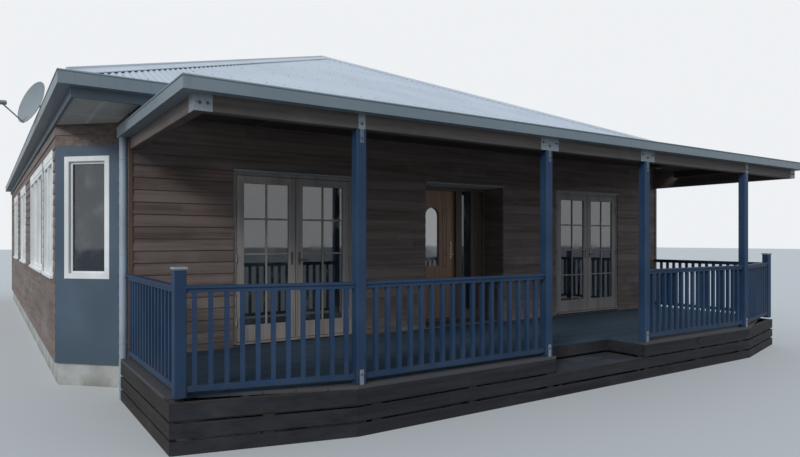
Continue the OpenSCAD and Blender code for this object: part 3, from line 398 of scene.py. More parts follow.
def lining(name):
    """Off-white flat sheets under the eaves, painted near black over the verandah as painted shade.
    """
    f = Finish(name, (0.5, 0.48, 0.44), 0.7)
    cloud = f.noise(0.8, 4.0, 0.6)
    tone = f.mix(cloud.ramp(0.35, 0.7), (0.5, 0.5, 0.47), (0.41, 0.405, 0.375))
    tone = f.mix(f.noise(0.06, 4.0, 0.6).ramp(0.62, 0.75) * 0.3, tone, (0.2, 0.18, 0.15))
    # Over the verandah the sheets are painted near black, as painted shade
    over = (abs(f.x) < HALF_FRONT) * (f.y < 0.0)
    tone = f.mix(over, tone, f.mix(cloud, (0.03, 0.025, 0.025), (0.055, 0.045, 0.042)))
    f.feed("Base Color", tone)
    f.relief(cloud, 0.001, 0.5)
    return f.material


WEATHERBOARD_X = boarding("weatherboards_front", "x")
WEATHERBOARD_Y = boarding("weatherboards_side", "y")
WEATHERBOARD_D = boarding("weatherboards_corner", "d", math.radians(45))

# Timber: stain, its dark grain, grain's axis, roughness, wear, bump and worn colour
WALL_LINING = timber("wall_lining", (0.62, 0.58, 0.5), (0.55, 0.51, 0.44), "z", 0.75, 0.2, 0.003,
                     (0.5, 0.46, 0.42))
DOOR_TIMBER = timber("door_frame_stain", (0.29, 0.26, 0.24), (0.2, 0.175, 0.155), "z", 0.5, 0.3,
                     0.002, (0.38, 0.355, 0.33))
FRONT_DOOR = timber("front_door_varnish", (0.34, 0.17, 0.095), (0.19, 0.09, 0.05), "z", 0.36,
                    0.12, 0.001, (0.36, 0.2, 0.11))
RAFTER_TIMBER = timber("rafter_stain", (0.05, 0.035, 0.028), (0.028, 0.02, 0.016), "y", 0.7, 0.2,
                       0.003, (0.1, 0.08, 0.07))
BEAM_TIMBER = timber("beam_stain_front", (0.1, 0.08, 0.07), (0.05, 0.04, 0.036), "x", 0.62, 0.35,
                     0.004, (0.19, 0.165, 0.15))
BEAM_SIDE = timber("beam_stain_side", (0.12, 0.095, 0.08), (0.06, 0.047, 0.04), "y", 0.62, 0.35,
                   0.004, (0.2, 0.175, 0.155))
BOARD_STAIN = timber("entry_board_stain", (0.12, 0.075, 0.055), (0.06, 0.04, 0.032), "z", 0.55,
                     0.2, 0.002, (0.2, 0.15, 0.12))
ENTRY_STAIN = timber("entry_frame_stain", (0.13, 0.092, 0.078), (0.075, 0.054, 0.047), "z", 0.55,
                     0.25, 0.002, (0.2, 0.16, 0.14))
SKIRT_TIMBER = timber("skirting_stain_front", (0.027, 0.027, 0.032), (0.013, 0.013, 0.016), "x",
                      0.7, 0.4, 0.004, (0.075, 0.072, 0.075), 0.25)
SKIRT_SIDE = timber("skirting_stain_side", (0.034, 0.031, 0.03), (0.017, 0.015, 0.015), "y",
                    0.7, 0.4, 0.004, (0.09, 0.082, 0.077), 0.25)
STEP_TIMBER = timber("step_timber", (0.05, 0.058, 0.07), (0.028, 0.032, 0.038), "x", 0.75, 0.35,
                     0.003, (0.12, 0.125, 0.135), 0.2)
FLOORING = floor_boards("floor_boards")
DECK_STAIN = decking("deck_board_stain")

# Paint: colour, worn colour, roughness, wear and the axis of the brush marks
PANEL_PAINT = paint("corner_panel_paint", (0.05, 0.08, 0.115), (0.3, 0.28, 0.25), 0.5, 0.3)
WHITE_PAINT = paint("white_window_paint", (0.72, 0.73, 0.72), (0.42, 0.38, 0.32), 0.35, 0.3)
WEATHERED_CAP = paint("weathered_cap_paint", (0.26, 0.29, 0.32), (0.36, 0.35, 0.33), 0.6, 0.5, "x")
STRIP_PAINT = paint("eave_strip_paint", (0.5, 0.5, 0.47), (0.32, 0.3, 0.27), 0.6, 0.3, "x")
PIPE = paint("downpipe_paint", (0.27, 0.33, 0.39), (0.4, 0.42, 0.43), 0.4, 0.2, bump=0.0008,
             foot=0.0, dirt=(0.12, 0.11, 0.1))
BLUE_PAINT = paint("blue_railing_paint", (0.009, 0.034, 0.082), (0.16, 0.165, 0.17), 0.5, 0.2,
                   foot=DECK_TOP, dirt=(0.05, 0.05, 0.052), shine=0.35)

# Steel and plastic: colour, dull colour, roughness and streaks
ROOF_STEEL = coated_steel("roof_sheet_paint", (0.49, 0.54, 0.6), (0.43, 0.475, 0.53), 0.45, 0.06,
                          True, 0.0003)
CAP_STEEL = coated_steel("roof_cap_paint", (0.52, 0.565, 0.62), (0.45, 0.49, 0.54), 0.42, 0.1,
                         True)
# Near-black finish for the verandah sheets' down-facing faces: painted shade under the verandah
# roof
PAINTED_SHADE_UNDERSIDE = coated_steel("roof_underside_painted_shade", (0.035, 0.03, 0.028), (0.05, 0.042, 0.038), 0.75,
                         0.2)
GUTTER_STEEL = coated_steel("gutter_paint", (0.155, 0.198, 0.225), (0.22, 0.258, 0.28), 0.4, 0.35)
FASCIA_PAINT = coated_steel("fascia_paint", (0.09, 0.12, 0.145), (0.14, 0.17, 0.19), 0.5, 0.3)
DISH_PAINT = coated_steel("dish_paint", (0.26, 0.29, 0.31), (0.21, 0.235, 0.25), 0.6, 0.3)
RUSTY = coated_steel("rusty_bolt", (0.12, 0.095, 0.085), (0.15, 0.1, 0.075), 0.8, 0.4)
BRASS = coated_steel("dull_brass", (0.55, 0.45, 0.26), (0.38, 0.3, 0.17), 0.32, 0.2)
BRONZE = coated_steel("dark_bronze", (0.06, 0.05, 0.04), (0.1, 0.08, 0.06), 0.4, 0.2)
DARK_HOLE = coated_steel("dark_pipe_end", (0.02, 0.022, 0.025), (0.03, 0.03, 0.03), 0.7, 0.2)
ZINC = galvanised("galvanised_plate")

CONCRETE = masonry("foundation_concrete")
SOFFIT_SHEET = lining("soffit_sheet")

# Glass: colour, alpha, waves and index of refraction; the dark colours and low alpha are painted
# shade of the rooms behind
GLASS = pane("window_glass_clear", (0.02, 0.03, 0.04), 0.8, 0.0004, 1.6)
DOOR_GLASS = pane("door_glass", (0.02, 0.03, 0.035), 0.85, 0.0005, 1.8)
ARCH_GLASS = pane("arched_glass", (0.05, 0.07, 0.08), 0.9, 0.0012, 2.3)


# Modelling helpers

def only(*objects):
    bpy.ops.object.select_all(action="DESELECT")
    for o in objects:
        o.select_set(True)
    bpy.context.view_layer.objects.active = objects[0]


def settle(o):
    """Puts the object's place into its mesh."""
    only(o)
    bpy.ops.object.transform_apply(location=True, rotation=True, scale=True)


def placed(o, spot, turn):
    """Moves a piece's own origin to a point, turned about Z, and settles it there."""
    o.matrix_world = Matrix.Translation(spot) @ Matrix.Rotation(turn, 4, "Z")
    settle(o)
    return o


def apply_modifiers(o):
    only(o)
    for m in list(o.modifiers):
        bpy.ops.object.modifier_apply(modifier=m.name)


def finished(o, material, body="house"):
    """Gives a piece its material, body and slot."""
    o.data.materials.clear()
    o.data.materials.append(material)
    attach(o, body)
    return o


def block(name, low, high):
    """A box between two corners, with its place in its mesh."""
    size = [b - a for a, b in zip(low, high)]
    middle = [(a + b) / 2 for a, b in zip(low, high)]
    bpy.ops.mesh.primitive_cube_add(size=1, location=middle, scale=size)
    o = bpy.context.object
    o.name = name
    settle(o)
    return o


def edit(o, action):
    """Opens edit mode with everything or nothing selected."""
    only(o)
    bpy.ops.object.mode_set(mode="EDIT")
    bpy.ops.mesh.select_all(action=action)


def done():
    bpy.ops.object.mode_set(mode="OBJECT")


def pick(o, kind, test):
    """Selects the corners (VERT) or faces (FACE) that pass the test, in edit mode."""
    edit(o, "DESELECT")
    bpy.ops.mesh.select_mode(type=kind)
    done()
    for item in o.data.vertices if kind == "VERT" else o.data.polygons:
        item.select = test(item)
    bpy.ops.object.mode_set(mode="EDIT")


def array(o, count, step):
    m = o.modifiers.new("row", "ARRAY")
    m.count = count
    m.use_relative_offset = False
    m.use_constant_offset = True
    m.constant_offset_displace = step
    apply_modifiers(o)


def bevel(o, width):
    m = o.modifiers.new("edges", "BEVEL")
    m.width = width
    m.segments = 1
    m.limit_method = "ANGLE"
    m.angle_limit = math.radians(35)
    m.harden_normals = False
    apply_modifiers(o)


def sheet_steel(o):
    """Gives an open surface the thickness of sheet steel."""
    m = o.modifiers.new("steel", "SOLIDIFY")
    m.thickness = 0.0015
    m.offset = 0
    apply_modifiers(o)


def smooth(o, angle):
    only(o)
    bpy.ops.object.shade_smooth_by_angle(angle=math.radians(angle))


def joined(name, pieces):
    only(*pieces)
    if len(pieces) > 1:
        bpy.ops.object.join()
    o = bpy.context.object
    o.name = name
    return o


def made(name, pieces, width, material, body="house"):
    """Joins pieces into one, eases its edges and finishes it."""
    o = joined(name, pieces)
    bevel(o, width)
    finished(o, material, body)


def second(o, material, test):
    """A second material on the faces whose normal and middle pass the test."""
    o.data.materials.append(material)
    for face in o.data.polygons:
        if test(face.normal, face.center):
            face.material_index = 1


def cut_away(o, cutters):
    """Cuts boxes out of a piece."""
    cutter = joined("cutter", cutters)
    m = o.modifiers.new("openings", "BOOLEAN")
    m.operation = "DIFFERENCE"
    m.solver = "EXACT"
    m.object = cutter
    apply_modifiers(o)
    bpy.data.objects.remove(cutter, do_unlink=True)


def cut_flat(o, point, normal):
    """Cuts everything on the normal's side of a plane off an open or closed mesh."""
    edit(o, "SELECT")
    bpy.ops.mesh.bisect(plane_co=point, plane_no=normal, clear_outer=True, use_fill=False)
    done()


def softened(node, width, material, body="house"):
    """The node's own shape with its sharp edges eased, in place of the node."""
    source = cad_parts[node]
    o = source.copy()
    o.data = source.data.copy()
    o.name = node + "_eased"
    o.parent = None
    o.matrix_world = Matrix.Identity(4)
    bpy.context.collection.objects.link(o)
    edit(o, "SELECT")
    bpy.ops.mesh.remove_doubles(threshold=0.00005)
    bpy.ops.mesh.dissolve_limited(angle_limit=math.radians(1))
    done()
    bevel(o, width)
    finished(o, material, body)
    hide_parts(node)
    return o


def tube(name, points, radius, closed=False, sides=8):
    """A round rod along straight runs between points."""
    curve = bpy.data.curves.new(name, "CURVE")
    curve.dimensions = "3D"
    curve.bevel_depth = radius
    curve.bevel_resolution = sides // 4 - 1
    curve.use_fill_caps = not closed
    spline = curve.splines.new("POLY")
    spline.points.add(len(points) - 1)
    for p, co in zip(spline.points, points):
        p.co = (*co, 1)
    spline.use_cyclic_u = closed
    o = bpy.data.objects.new(name, curve)
    bpy.context.collection.objects.link(o)
    only(o)
    bpy.ops.object.convert(target="MESH")
    o = bpy.context.object
    o.name = name
    return o


# Weatherboards: how far a board's face and back lie from the wall's face, how far its foot
# leans out, and the seam over its head
BOARD_OUT, BOARD_IN, BOARD_LEAN, BOARD_SEAM = 0.002, 0.006, 0.011, 0.0004
# Half the depth of the boxes that cut openings in the boards
CUT = 0.1


def cladding(name, start, turn, length, top, openings, material, foot=CLAD_FOOT):
    """Lapped boards on a wall that starts at a point and runs along its own +X, facing -Y.

    The turn is in degrees. The openings are (x0, x1, z0, z1) on the wall.
    """
    count = math.ceil((top - foot) / COURSE)
    board = block(name, (0, -BOARD_OUT, foot), (length, BOARD_IN, foot + COURSE - BOARD_SEAM))
    pick(board, "VERT", lambda v: v.co.y < 0 and v.co.z < foot + COURSE / 2)
    bpy.ops.transform.translate(value=(0, -BOARD_LEAN, 0))
    done()
    array(board, count, (0, 0, COURSE))
    cutters = [block("over", (-1, -CUT, top), (length + 1, CUT, top + 1))]
    for x0, x1, z0, z1 in openings:
        cutters.append(block("hole", (x0, -CUT, z0), (x1, CUT, z1)))
    cut_away(board, cutters)
    placed(board, (*start, 0), math.radians(turn))
    finished(board, material)


door_ways = [(HALF_FRONT + x0, HALF_FRONT + x1, 0, DOOR_HEAD + CLEAR)
             for x0, x1 in ((-FRENCH_OUT, -FRENCH_IN), (-ENTRY_HALF, ENTRY_HALF),
                            (FRENCH_IN, FRENCH_OUT))]
side_len = DEPTH - SIDE_START
hole_foot, hole_top = SILL - TRIM - CLEAR, HEAD + HEAD_TRIM + CLEAR
right_holes = [(y - TRIM - CLEAR - SIDE_START, y + w + TRIM + CLEAR - SIDE_START, hole_foot,
                hole_top) for y, w, _ in SIDE_WINDOWS]
left_holes = [(side_len - x1, side_len - x0, z0, z1) for x0, x1, z0, z1 in right_holes]
back_hole = BACK_WINDOW_W / 2 + TRIM
back_holes = [(HALF_SIDE + x - back_hole, HALF_SIDE + x + back_hole, hole_foot, hole_top)
              for x in BACK_WINDOWS]
# The head of the right downpipe meets the wall there
pipe_notch = (0.02, 0.085, 2.4, 2.8)
splay_len = SPLAY * math.sqrt(2)
splay_foot = SOFFIT - 0.255
# Name, start, turn, length, top, openings, finish and, where it isn't the walls' own, foot
walls = [
    ("front_wall", (-HALF_FRONT, 0), 0, 2 * HALF_FRONT, SOFFIT, door_ways, WEATHERBOARD_X),
    ("right_side", (HALF_SIDE, SIDE_START), 90, side_len, SOFFIT, right_holes, WEATHERBOARD_Y),
    ("left_side", (-HALF_SIDE, DEPTH), -90, side_len, SOFFIT, left_holes, WEATHERBOARD_Y),
    ("back", (HALF_SIDE, DEPTH), 180, 2 * HALF_SIDE, SOFFIT, back_holes, WEATHERBOARD_X),
    ("right_return", (HALF_FRONT, 0), 90, RETURN, SOFFIT, [pipe_notch], WEATHERBOARD_Y),
    ("left_return", (-HALF_FRONT, RETURN), -90, RETURN, SOFFIT, [], WEATHERBOARD_Y),
    ("entry_right", (ENTRY_HALF, RECESS), -90, RECESS, DOOR_HEAD, [], WEATHERBOARD_Y, FLOOR),
    ("entry_left", (-ENTRY_HALF, 0), 90, RECESS, DOOR_HEAD, [], WEATHERBOARD_Y, FLOOR),
    ("right_splay", (HALF_FRONT, RETURN), 45, splay_len, SOFFIT, [], WEATHERBOARD_D, splay_foot),
    ("left_splay", (-HALF_SIDE, SIDE_START), -45, splay_len, SOFFIT, [], WEATHERBOARD_D,
     splay_foot),
]
for name, *wall in walls:
    cladding("weatherboards_" + name, *wall)

# Corrugated roofs: quads along a wave, half a wave's height, and the wave's middle under the
# plain sheets' top
WAVE_STEPS, WAVE_HALF, WAVE_DROP = 8, 0.0085, 0.0095


def corrugated(name, width, run, rise, foot, turn, lift=0.0):
    """One slope of sheets: width along its foot, run in plan, and the middle of its foot.

    It faces -Y before the turn, and is cut along 45 degree hips from both ends of its foot.
    """
    steps = int(width / WAVE) * WAVE_STEPS
    bpy.ops.mesh.primitive_grid_add(x_subdivisions=steps, y_subdivisions=1, size=1)
    o = bpy.context.object
    o.name = name
    for v in o.data.vertices:
        x, y = v.co.x * width, (v.co.y + 0.5) * run
        wave = WAVE_HALF * math.cos(2 * math.pi * x / WAVE)
        v.co = (x, y, y * rise + lift - WAVE_DROP + wave)
    for s in SIDES:
        cut_flat(o, (s * width / 2, 0, 0), (s, 1, 0))
    sheet_steel(o)
    smooth(o, 40)
    return placed(o, foot, turn)


# Width along the foot, middle of the foot and turn of the main roof's slopes
roof_len = DEPTH + 2 * ROOF_Y
main_slopes = [
    ("slope_front", 2 * ROOF_X, (0, -ROOF_Y, ROOF_EDGE), 0),
    ("slope_back", 2 * ROOF_X, (0, DEPTH + ROOF_Y, ROOF_EDGE), math.pi),
    ("slope_right", roof_len, (ROOF_X, DEPTH / 2, ROOF_EDGE), math.pi / 2),
    ("slope_left", roof_len, (-ROOF_X, DEPTH / 2, ROOF_EDGE), -math.pi / 2),
]
slopes = [corrugated(name, width, ROOF_X, ROOF_RISE, foot, turn)
          for name, width, foot, turn in main_slopes]
roof = finished(joined("main_roof_sheets", slopes), ROOF_STEEL)
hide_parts("main_roof")

# The verandah's front slope, and its side slopes up to the fascia
porch_run = VER_Y - FASCIA_Y
porch_foot = (0, -VER_Y, VER_EDGE)
slopes = [corrugated("porch_front", 2 * VER_X, porch_run, VER_RISE, porch_foot, 0, VER_LIFT)]
for s in SIDES:
    side_foot = (s * VER_X, VER_X - VER_Y, VER_EDGE)
    side = corrugated("porch_side", 2 * VER_X, VER_X, VER_RISE, side_foot, s * math.pi / 2,
                      VER_LIFT)
    cut_flat(side, (0, -FASCIA_Y, 0), (0, 1, 0))
    slopes.append(side)
porch = finished(joined("verandah_roof_sheets", slopes), ROOF_STEEL)
# The sheets' down-facing faces are painted near black, as painted shade
second(porch, PAINTED_SHADE_UNDERSIDE, lambda n, c: n.z < 0)
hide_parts("verandah_roof")

# Screws: their spacing, their distance from the hips, the height of their middle, and the
# rows' distance from the foot of a slope
SCREW_STEP, SCREW_INSET, SCREW_RISE = 3 * WAVE, 0.25, 0.0035
MAIN_ROWS, PORCH_ROWS = (0.09, 0.95, 1.85, 2.75, 3.65, 4.55), (0.09, 0.75, 1.4)


def slope_screws(width, rise, foot, turn, runs, lift=0.0):
    """Rows of screws with their washers on every third crest of a slope."""
    rows = []
    for run in runs:
        reach = math.floor((width / 2 - run - SCREW_INSET) / SCREW_STEP)
        spot = (-reach * SCREW_STEP, run, run * rise + lift + SCREW_RISE)
        bpy.ops.mesh.primitive_cone_add(vertices=8, radius1=0.011, radius2=0.006, depth=0.008,
                                        location=spot)
        row = bpy.context.object
        settle(row)
        array(row, 2 * reach + 1, (SCREW_STEP, 0, 0))
        rows.append(placed(row, foot, turn))
    return rows


rows = []
for _, width, foot, turn in main_slopes:
    rows += slope_screws(width, ROOF_RISE, foot, turn, MAIN_ROWS)
rows += slope_screws(2 * VER_X, VER_RISE, porch_foot, 0, PORCH_ROWS, VER_LIFT)
finished(joined("roof_screws", rows), CAP_STEEL)

# Rolled edges along the main roof's ridge and hips, which stop just short of the corners
ROLL_R, ROLL_RISE, ROLL_SHARE = 0.022, 0.004, 0.996


def roof_at(x, y):
    run = min(ROOF_X - abs(x), y + ROOF_Y, DEPTH + ROOF_Y - y)
    return ROOF_EDGE + run * ROOF_RISE


def roll(points):
    return tube("roll", [(x, y, roof_at(x, y) + ROLL_RISE) for x, y in points], ROLL_R)


ridge_half = roof_len / 2 - ROOF_X
ridge = [(0, DEPTH / 2 - ridge_half), (0, DEPTH / 2 + ridge_half)]
rolls = [roll(ridge)]
for s in SIDES:
    for end, y in ((ridge[0], -ROOF_Y), (ridge[1], DEPTH + ROOF_Y)):
        corner = Vector(end).lerp(Vector((s * ROOF_X, y)), ROLL_SHARE)
        rolls.append(roll([end, corner]))
rolls = joined("cap_rolls", rolls)
smooth(rolls, 50)
finished(rolls, CAP_STEEL)

# Caps on the verandah roof's hips: a wing's width, where the caps start before the corner and
# end under the main gutter, their rise over the sheets, their reach past the sheets' edges,
# and the radius of the roll in their middle
WING, CAP_START, CAP_END = 0.1, -0.1, VER_Y - FASCIA_Y - 0.15
CAP_RISE, CAP_PAST, CAP_ROLL = 0.001, 0.004, 0.011


def hip_cap(s):
    """A folded cap with a rolled middle, cut off square at the sheets' edges."""
    bpy.ops.mesh.primitive_grid_add(x_subdivisions=2, y_subdivisions=1, size=1)
    o = bpy.context.object
    for v in o.data.vertices:
        run = CAP_START + (CAP_END - CAP_START) * (v.co.y + 0.5)
        reach = 2 * v.co.x * WING / math.sqrt(2)
        z = VER_EDGE + VER_LIFT + (run - abs(reach)) * VER_RISE + CAP_RISE
        v.co = (s * (VER_X - run - reach), -VER_Y + run - reach, z)
    cut_flat(o, (0, -VER_Y - CAP_PAST, 0), (0, -1, 0))
    cut_flat(o, (s * (VER_X + CAP_PAST), 0, 0), (s, 0, 0))
    sheet_steel(o)
    edit(o, "SELECT")
    bpy.ops.mesh.normals_make_consistent(inside=False)
    done()
    line = [(s * (VER_X - run), -VER_Y + run, VER_EDGE + VER_LIFT + run * VER_RISE)
            for run in (0.0, CAP_END)]
    return joined("cap", [o, tube("roll", line, CAP_ROLL)])


caps = joined("verandah_hip_caps", [hip_cap(s) for s in SIDES])
smooth(caps, 50)
finished(caps, CAP_STEEL)


def rim(node):
    """The corners of a gutter's rim, from the front left one to the back left one."""
    (x0, y0, _), (x1, y1, z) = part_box(node)
    return [(x0, y0, z), (x1, y0, z), (x1, y1, z), (x0, y1, z)]


# Beads along the gutters' outer rims, all round the house and on three sides of the verandah
BEAD_R = 0.009
bead = tube("main_gutter_bead", rim("main_gutter"), BEAD_R, True)
finished(bead, GUTTER_STEEL)
*corners, back_left = rim("verandah_gutter")
bead = tube("verandah_gutter_bead", [back_left, *corners], BEAD_R)
finished(bead, GUTTER_STEEL)

# Deck boards, laid along the front: cut out at the step and cut off aslant at the ends
DECK_ROWS, DECK_GAP = 25, 0.005
plank = block("deck_boards", (-DECK_X, -DECK_Y, DECK_UNDER + STAGGER),
              (DECK_X, -DECK_Y + DECK_BOARD - DECK_GAP, DECK_TOP))
bevel(plank, 0.002)
array(plank, DECK_ROWS, (0, DECK_BOARD, 0))
cut_away(plank, [block("step_cut", (-STEP_X, -3, 0.3), (STEP_X, -STEP_Y, 0.6))])
for s in SIDES:
    cut_flat(plank, (s * CANT_X, -DECK_Y, 0), (s * CANT, -(DECK_X - CANT_X), 0))
edit(plank, "SELECT")
bpy.ops.mesh.fill_holes(sides=0)
done()
finished(plank, DECK_STAIN)
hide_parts("deck_floor")

# Each leaf's body, and the side of its door it is on
leaves = {"left_door_leaf_1": ("left_door_left_leaf", -1),
          "left_door_leaf_2": ("left_door_right_leaf", 1),
          "right_door_leaf_1": ("right_door_left_leaf", -1),
          "right_door_leaf_2": ("right_door_right_leaf", 1)}

# Glazing bars of a leaf: its lights, a bar's width, and its outer and inner face
LIGHTS_ACROSS, LIGHTS_UP, BAR_W, BAR_OUT, BAR_BACK = 2, 4, 0.022, 0.014, 0.046


def glazing_bars(node, body):
    (x0, _, z0), (x1, _, z1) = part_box(node.replace("leaf", "glass"))
    pieces = []
    for i in range(1, LIGHTS_ACROSS):
        x = x0 + (x1 - x0) * i / LIGHTS_ACROSS
        pieces.append(block("bar", (x - BAR_W / 2, BAR_OUT, z0), (x + BAR_W / 2, BAR_BACK, z1)))
    for i in range(1, LIGHTS_UP):
        z = z0 + (z1 - z0) * i / LIGHTS_UP
        pieces.append(block("bar", (x0, BAR_OUT + STAGGER, z - BAR_W / 2),
                            (x1, BAR_BACK - STAGGER, z + BAR_W / 2)))
    made(node + "_bars", pieces, 0.004, DOOR_TIMBER, body)


for node, (body, _) in leaves.items():
    glazing_bars(node, body)

# Mouldings on the front door: a panel beside the glass on each side, and two below it
DOOR_FACE = edge("front_door_handle", 1, Y)
STRIP_SUNK, STRIP_PROUD = 0.002, 0.009


def frame_strip(x0, x1, z0, z1, width):
    """A rectangle of four strips that stand proud of the door's face."""
    y0, y1 = DOOR_FACE - STRIP_PROUD, DOOR_FACE + STRIP_SUNK
    o = joined("strips", [
        block("strip", (x0, y0, z0), (x1, y1, z0 + width)),
        block("strip", (x0, y0, z1 - width), (x1, y1, z1)),
        block("strip", (x0, y0 + STAGGER, z0 + width), (x0 + width, y1, z1 - width)),
        block("strip", (x1 - width, y0 + STAGGER, z0 + width), (x1, y1, z1 - width))])
    bevel(o, 0.003)
    return o


glass_low, glass_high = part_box("front_door_glass")
mid = (glass_low[0] + glass_high[0]) / 2
beside = (glass_low[2] - 0.03, glass_high[2] + 0.02)
below = (edge("front_door", 0, Z) + 0.14, glass_low[2] - 0.16)
# Left and right edge from the glass's middle, rise and width of the strips of each panel
panels = ((-0.37, -0.2, beside, 0.022), (0.2, 0.29, beside, 0.018),
          (-0.33, -0.04, below, 0.024), (0.0, 0.29, below, 0.024))
strips = [frame_strip(mid + x0, mid + x1, *rise, width) for x0, x1, rise, width in panels]
finished(joined("front_door_mouldings", strips), FRONT_DOOR, "entry_door")

# Upright boards beside the sidelight: start, spacing, width, face, back, foot and top
UPRIGHT_X, UPRIGHT_STEP, UPRIGHT_W = 0.511, 0.065, 0.0625
UPRIGHT_OUT, UPRIGHT_BACK, UPRIGHT_FOOT, UPRIGHT_TOP = 0.451, 0.466, 0.612, 2.457
uprights = []
for i in range(3):
    x = UPRIGHT_X + i * UPRIGHT_STEP
    uprights.append(block("upright", (x, UPRIGHT_OUT, UPRIGHT_FOOT),
                          (x + UPRIGHT_W, UPRIGHT_BACK, UPRIGHT_TOP)))
made("entry_side_boards", uprights, 0.004, BOARD_STAIN)

# Sashes: their face, outside and back, and the width of the window frame round each light
SASH_W, SASH_OUT, SASH_BACK, FRAME_W = 0.028, 0.018, 0.034, 0.06


def sash(width, height):
    """A sash as four strips round a light whose lower left corner is at the origin."""
    right, top = width - SASH_W, height - SASH_W
    corners = [(0, width, 0, SASH_W), (0, width, top, height),
               (0, SASH_W, SASH_W, top), (right, width, SASH_W, top)]
    return [block("sash", (x0, SASH_OUT, z0), (x1, SASH_BACK, z1)) for x0, x1, z0, z1 in corners]


# Middle, turn, width, sill, head and lights of every window
windows = [(s * (HALF_FRONT + SPLAY / 2), RETURN + SPLAY / 2, 45 * s, CORNER_WINDOW_W, SILL,
            CORNER_HEAD, 1) for s in SIDES]
windows += [(s * HALF_SIDE, y + w / 2, 90 * s, w, SILL, HEAD, lights)
            for s in SIDES for y, w, lights in SIDE_WINDOWS]
windows += [(x, DEPTH, 180, BACK_WINDOW_W, SILL, HEAD, 2) for x in BACK_WINDOWS]
sashes = []
for x, y, turn, width, sill, head, lights in windows:
    light = (width - (lights + 1) * FRAME_W) / lights
    row = []
    for i in range(lights):
        strip = joined("sash", sash(light, head - sill - 2 * FRAME_W))
        strip.location = (FRAME_W + i * (light + FRAME_W), 0, FRAME_W)
        settle(strip)
        row.append(strip)
    row = joined("sash_row", row)
    row.matrix_world = (Matrix.Translation((x, y, sill))
                        @ Matrix.Rotation(math.radians(turn), 4, "Z")
                        @ Matrix.Translation((-width / 2, 0, 0)))
    settle(row)
    sashes.append(row)
made("window_sashes", sashes, 0.003, WHITE_PAINT)

# Stops where the weatherboards meet at the corners, from the foot of the boards to the soffit
STOP_OUT, STOP_W, STOP_BACK = 0.016, 0.03, 0.0288
stops = []
for s in SIDES:
    for x, y, outward in ((HALF_FRONT, 0.0, -1), (HALF_SIDE, DEPTH, 1)):
        x0, x1 = sorted((s * (x - STOP_W), s * (x + STOP_OUT)))
        y0, y1 = sorted((y + outward * STOP_OUT, y - outward * STOP_BACK))
        stops.append(block("stop", (x0, y0, CLAD_FOOT), (x1, y1, SOFFIT - 0.001)))
made("corner_stops", stops, 0.003, BOARD_STAIN)

# Cover strips on the joints of the eave lining: half a strip's width, how far it hangs under
# the lining and reaches into it, the lining's edge, and the spacing of the strips at the back
STRIP_HALF, STRIP_DROP, STRIP_IN, LINING_EDGE, LINING_STEP = 0.02, 0.006, 0.002, 0.548, 1.2
strip_foot, strip_top = SOFFIT - STRIP_DROP, SOFFIT + STRIP_IN
strips = []
for i in range(8):
    x = (i - 3.5) * LINING_STEP
    strips.append(block("strip", (x - STRIP_HALF, DEPTH + 0.02, strip_foot),
                        (x + STRIP_HALF, DEPTH + LINING_EDGE, strip_top)))
# One from the front edge to each splay, and one across that
SPLAY_JOINT_X, SPLAY_JOINT_Y, CROSS_X = 4.95, 0.3, 4.93
for s in SIDES:
    x = s * SPLAY_JOINT_X
    strips.append(block("strip", (x - STRIP_HALF, -LINING_EDGE, strip_foot),
                        (x + STRIP_HALF, 0.85, strip_top)))
    x = s * CROSS_X
    strips.append(block("strip", (x - 0.26, SPLAY_JOINT_Y - STRIP_HALF, strip_foot + STAGGER),
                        (x + 0.28, SPLAY_JOINT_Y + STRIP_HALF, strip_top)))
made("eave_joint_strips", strips, 0.002, STRIP_PAINT)

# Bolts through the plates and shoes of the posts, at the height of the beam, strap and shoe,
# with two more in each wide plate over an inner post and in each plate at the beam's ends
BOLT_R = 0.008
BOLT_Y = edge("post_brackets", 0, Y)
BEAM_BOLT, STRAP_BOLT, SHOE_BOLT, WIDE_BOLT, END_BOLT = 2.705, 2.58, 0.53, 2.74, 2.72


def bolt(x, z):
    """A hexagonal head on a round washer, facing -Y."""
    pieces = []
    for sides, radius, depth, proud in ((20, BOLT_R * 1.55, 0.004, 0.001),
                                        (6, BOLT_R, 0.01, 0.007)):
        bpy.ops.mesh.primitive_cylinder_add(vertices=sides, radius=radius, depth=depth,
                                            location=(x, BOLT_Y - proud, z),
                                            rotation=(math.radians(90), 0, 0))
        pieces.append(bpy.context.object)
        settle(pieces[-1])
    return joined("bolt", pieces)


bolts = [bolt(x, z) for x in (-POST_OUT_X, -POST_IN_X, POST_IN_X, POST_OUT_X)
         for z in (BEAM_BOLT, STRAP_BOLT, SHOE_BOLT)]
for s in SIDES:
    bolts += [bolt(s * POST_IN_X + dx, WIDE_BOLT) for dx in (-0.1, 0.1)]
    bolts += [bolt(s * (HALF_FRONT - dx), END_BOLT) for dx in (0.04, 0.1)]
made("plate_bolts", bolts, 0.001, RUSTY)

# The end of a pipe in the front skirting, to the right of the step, hollowed out to its wall
PIPE_END, PIPE_END_R, PIPE_WALL, PIPE_HOLLOW = (1.95, -2.452, 0.375), 0.036, 0.005, 0.016
bpy.ops.mesh.primitive_cylinder_add(vertices=28, radius=PIPE_END_R, depth=0.02,
                                    location=PIPE_END, rotation=(math.radians(90), 0, 0))
pipe_end = bpy.context.object
pipe_end.name = "skirting_pipe_end"
settle(pipe_end)
pick(pipe_end, "FACE", lambda face: face.normal.y < -0.9)
bpy.ops.mesh.inset(thickness=PIPE_WALL, depth=0)
bpy.ops.transform.translate(value=(0, PIPE_HOLLOW, 0))
done()
bevel(pipe_end, 0.001)
finished(pipe_end, DARK_HOLE)

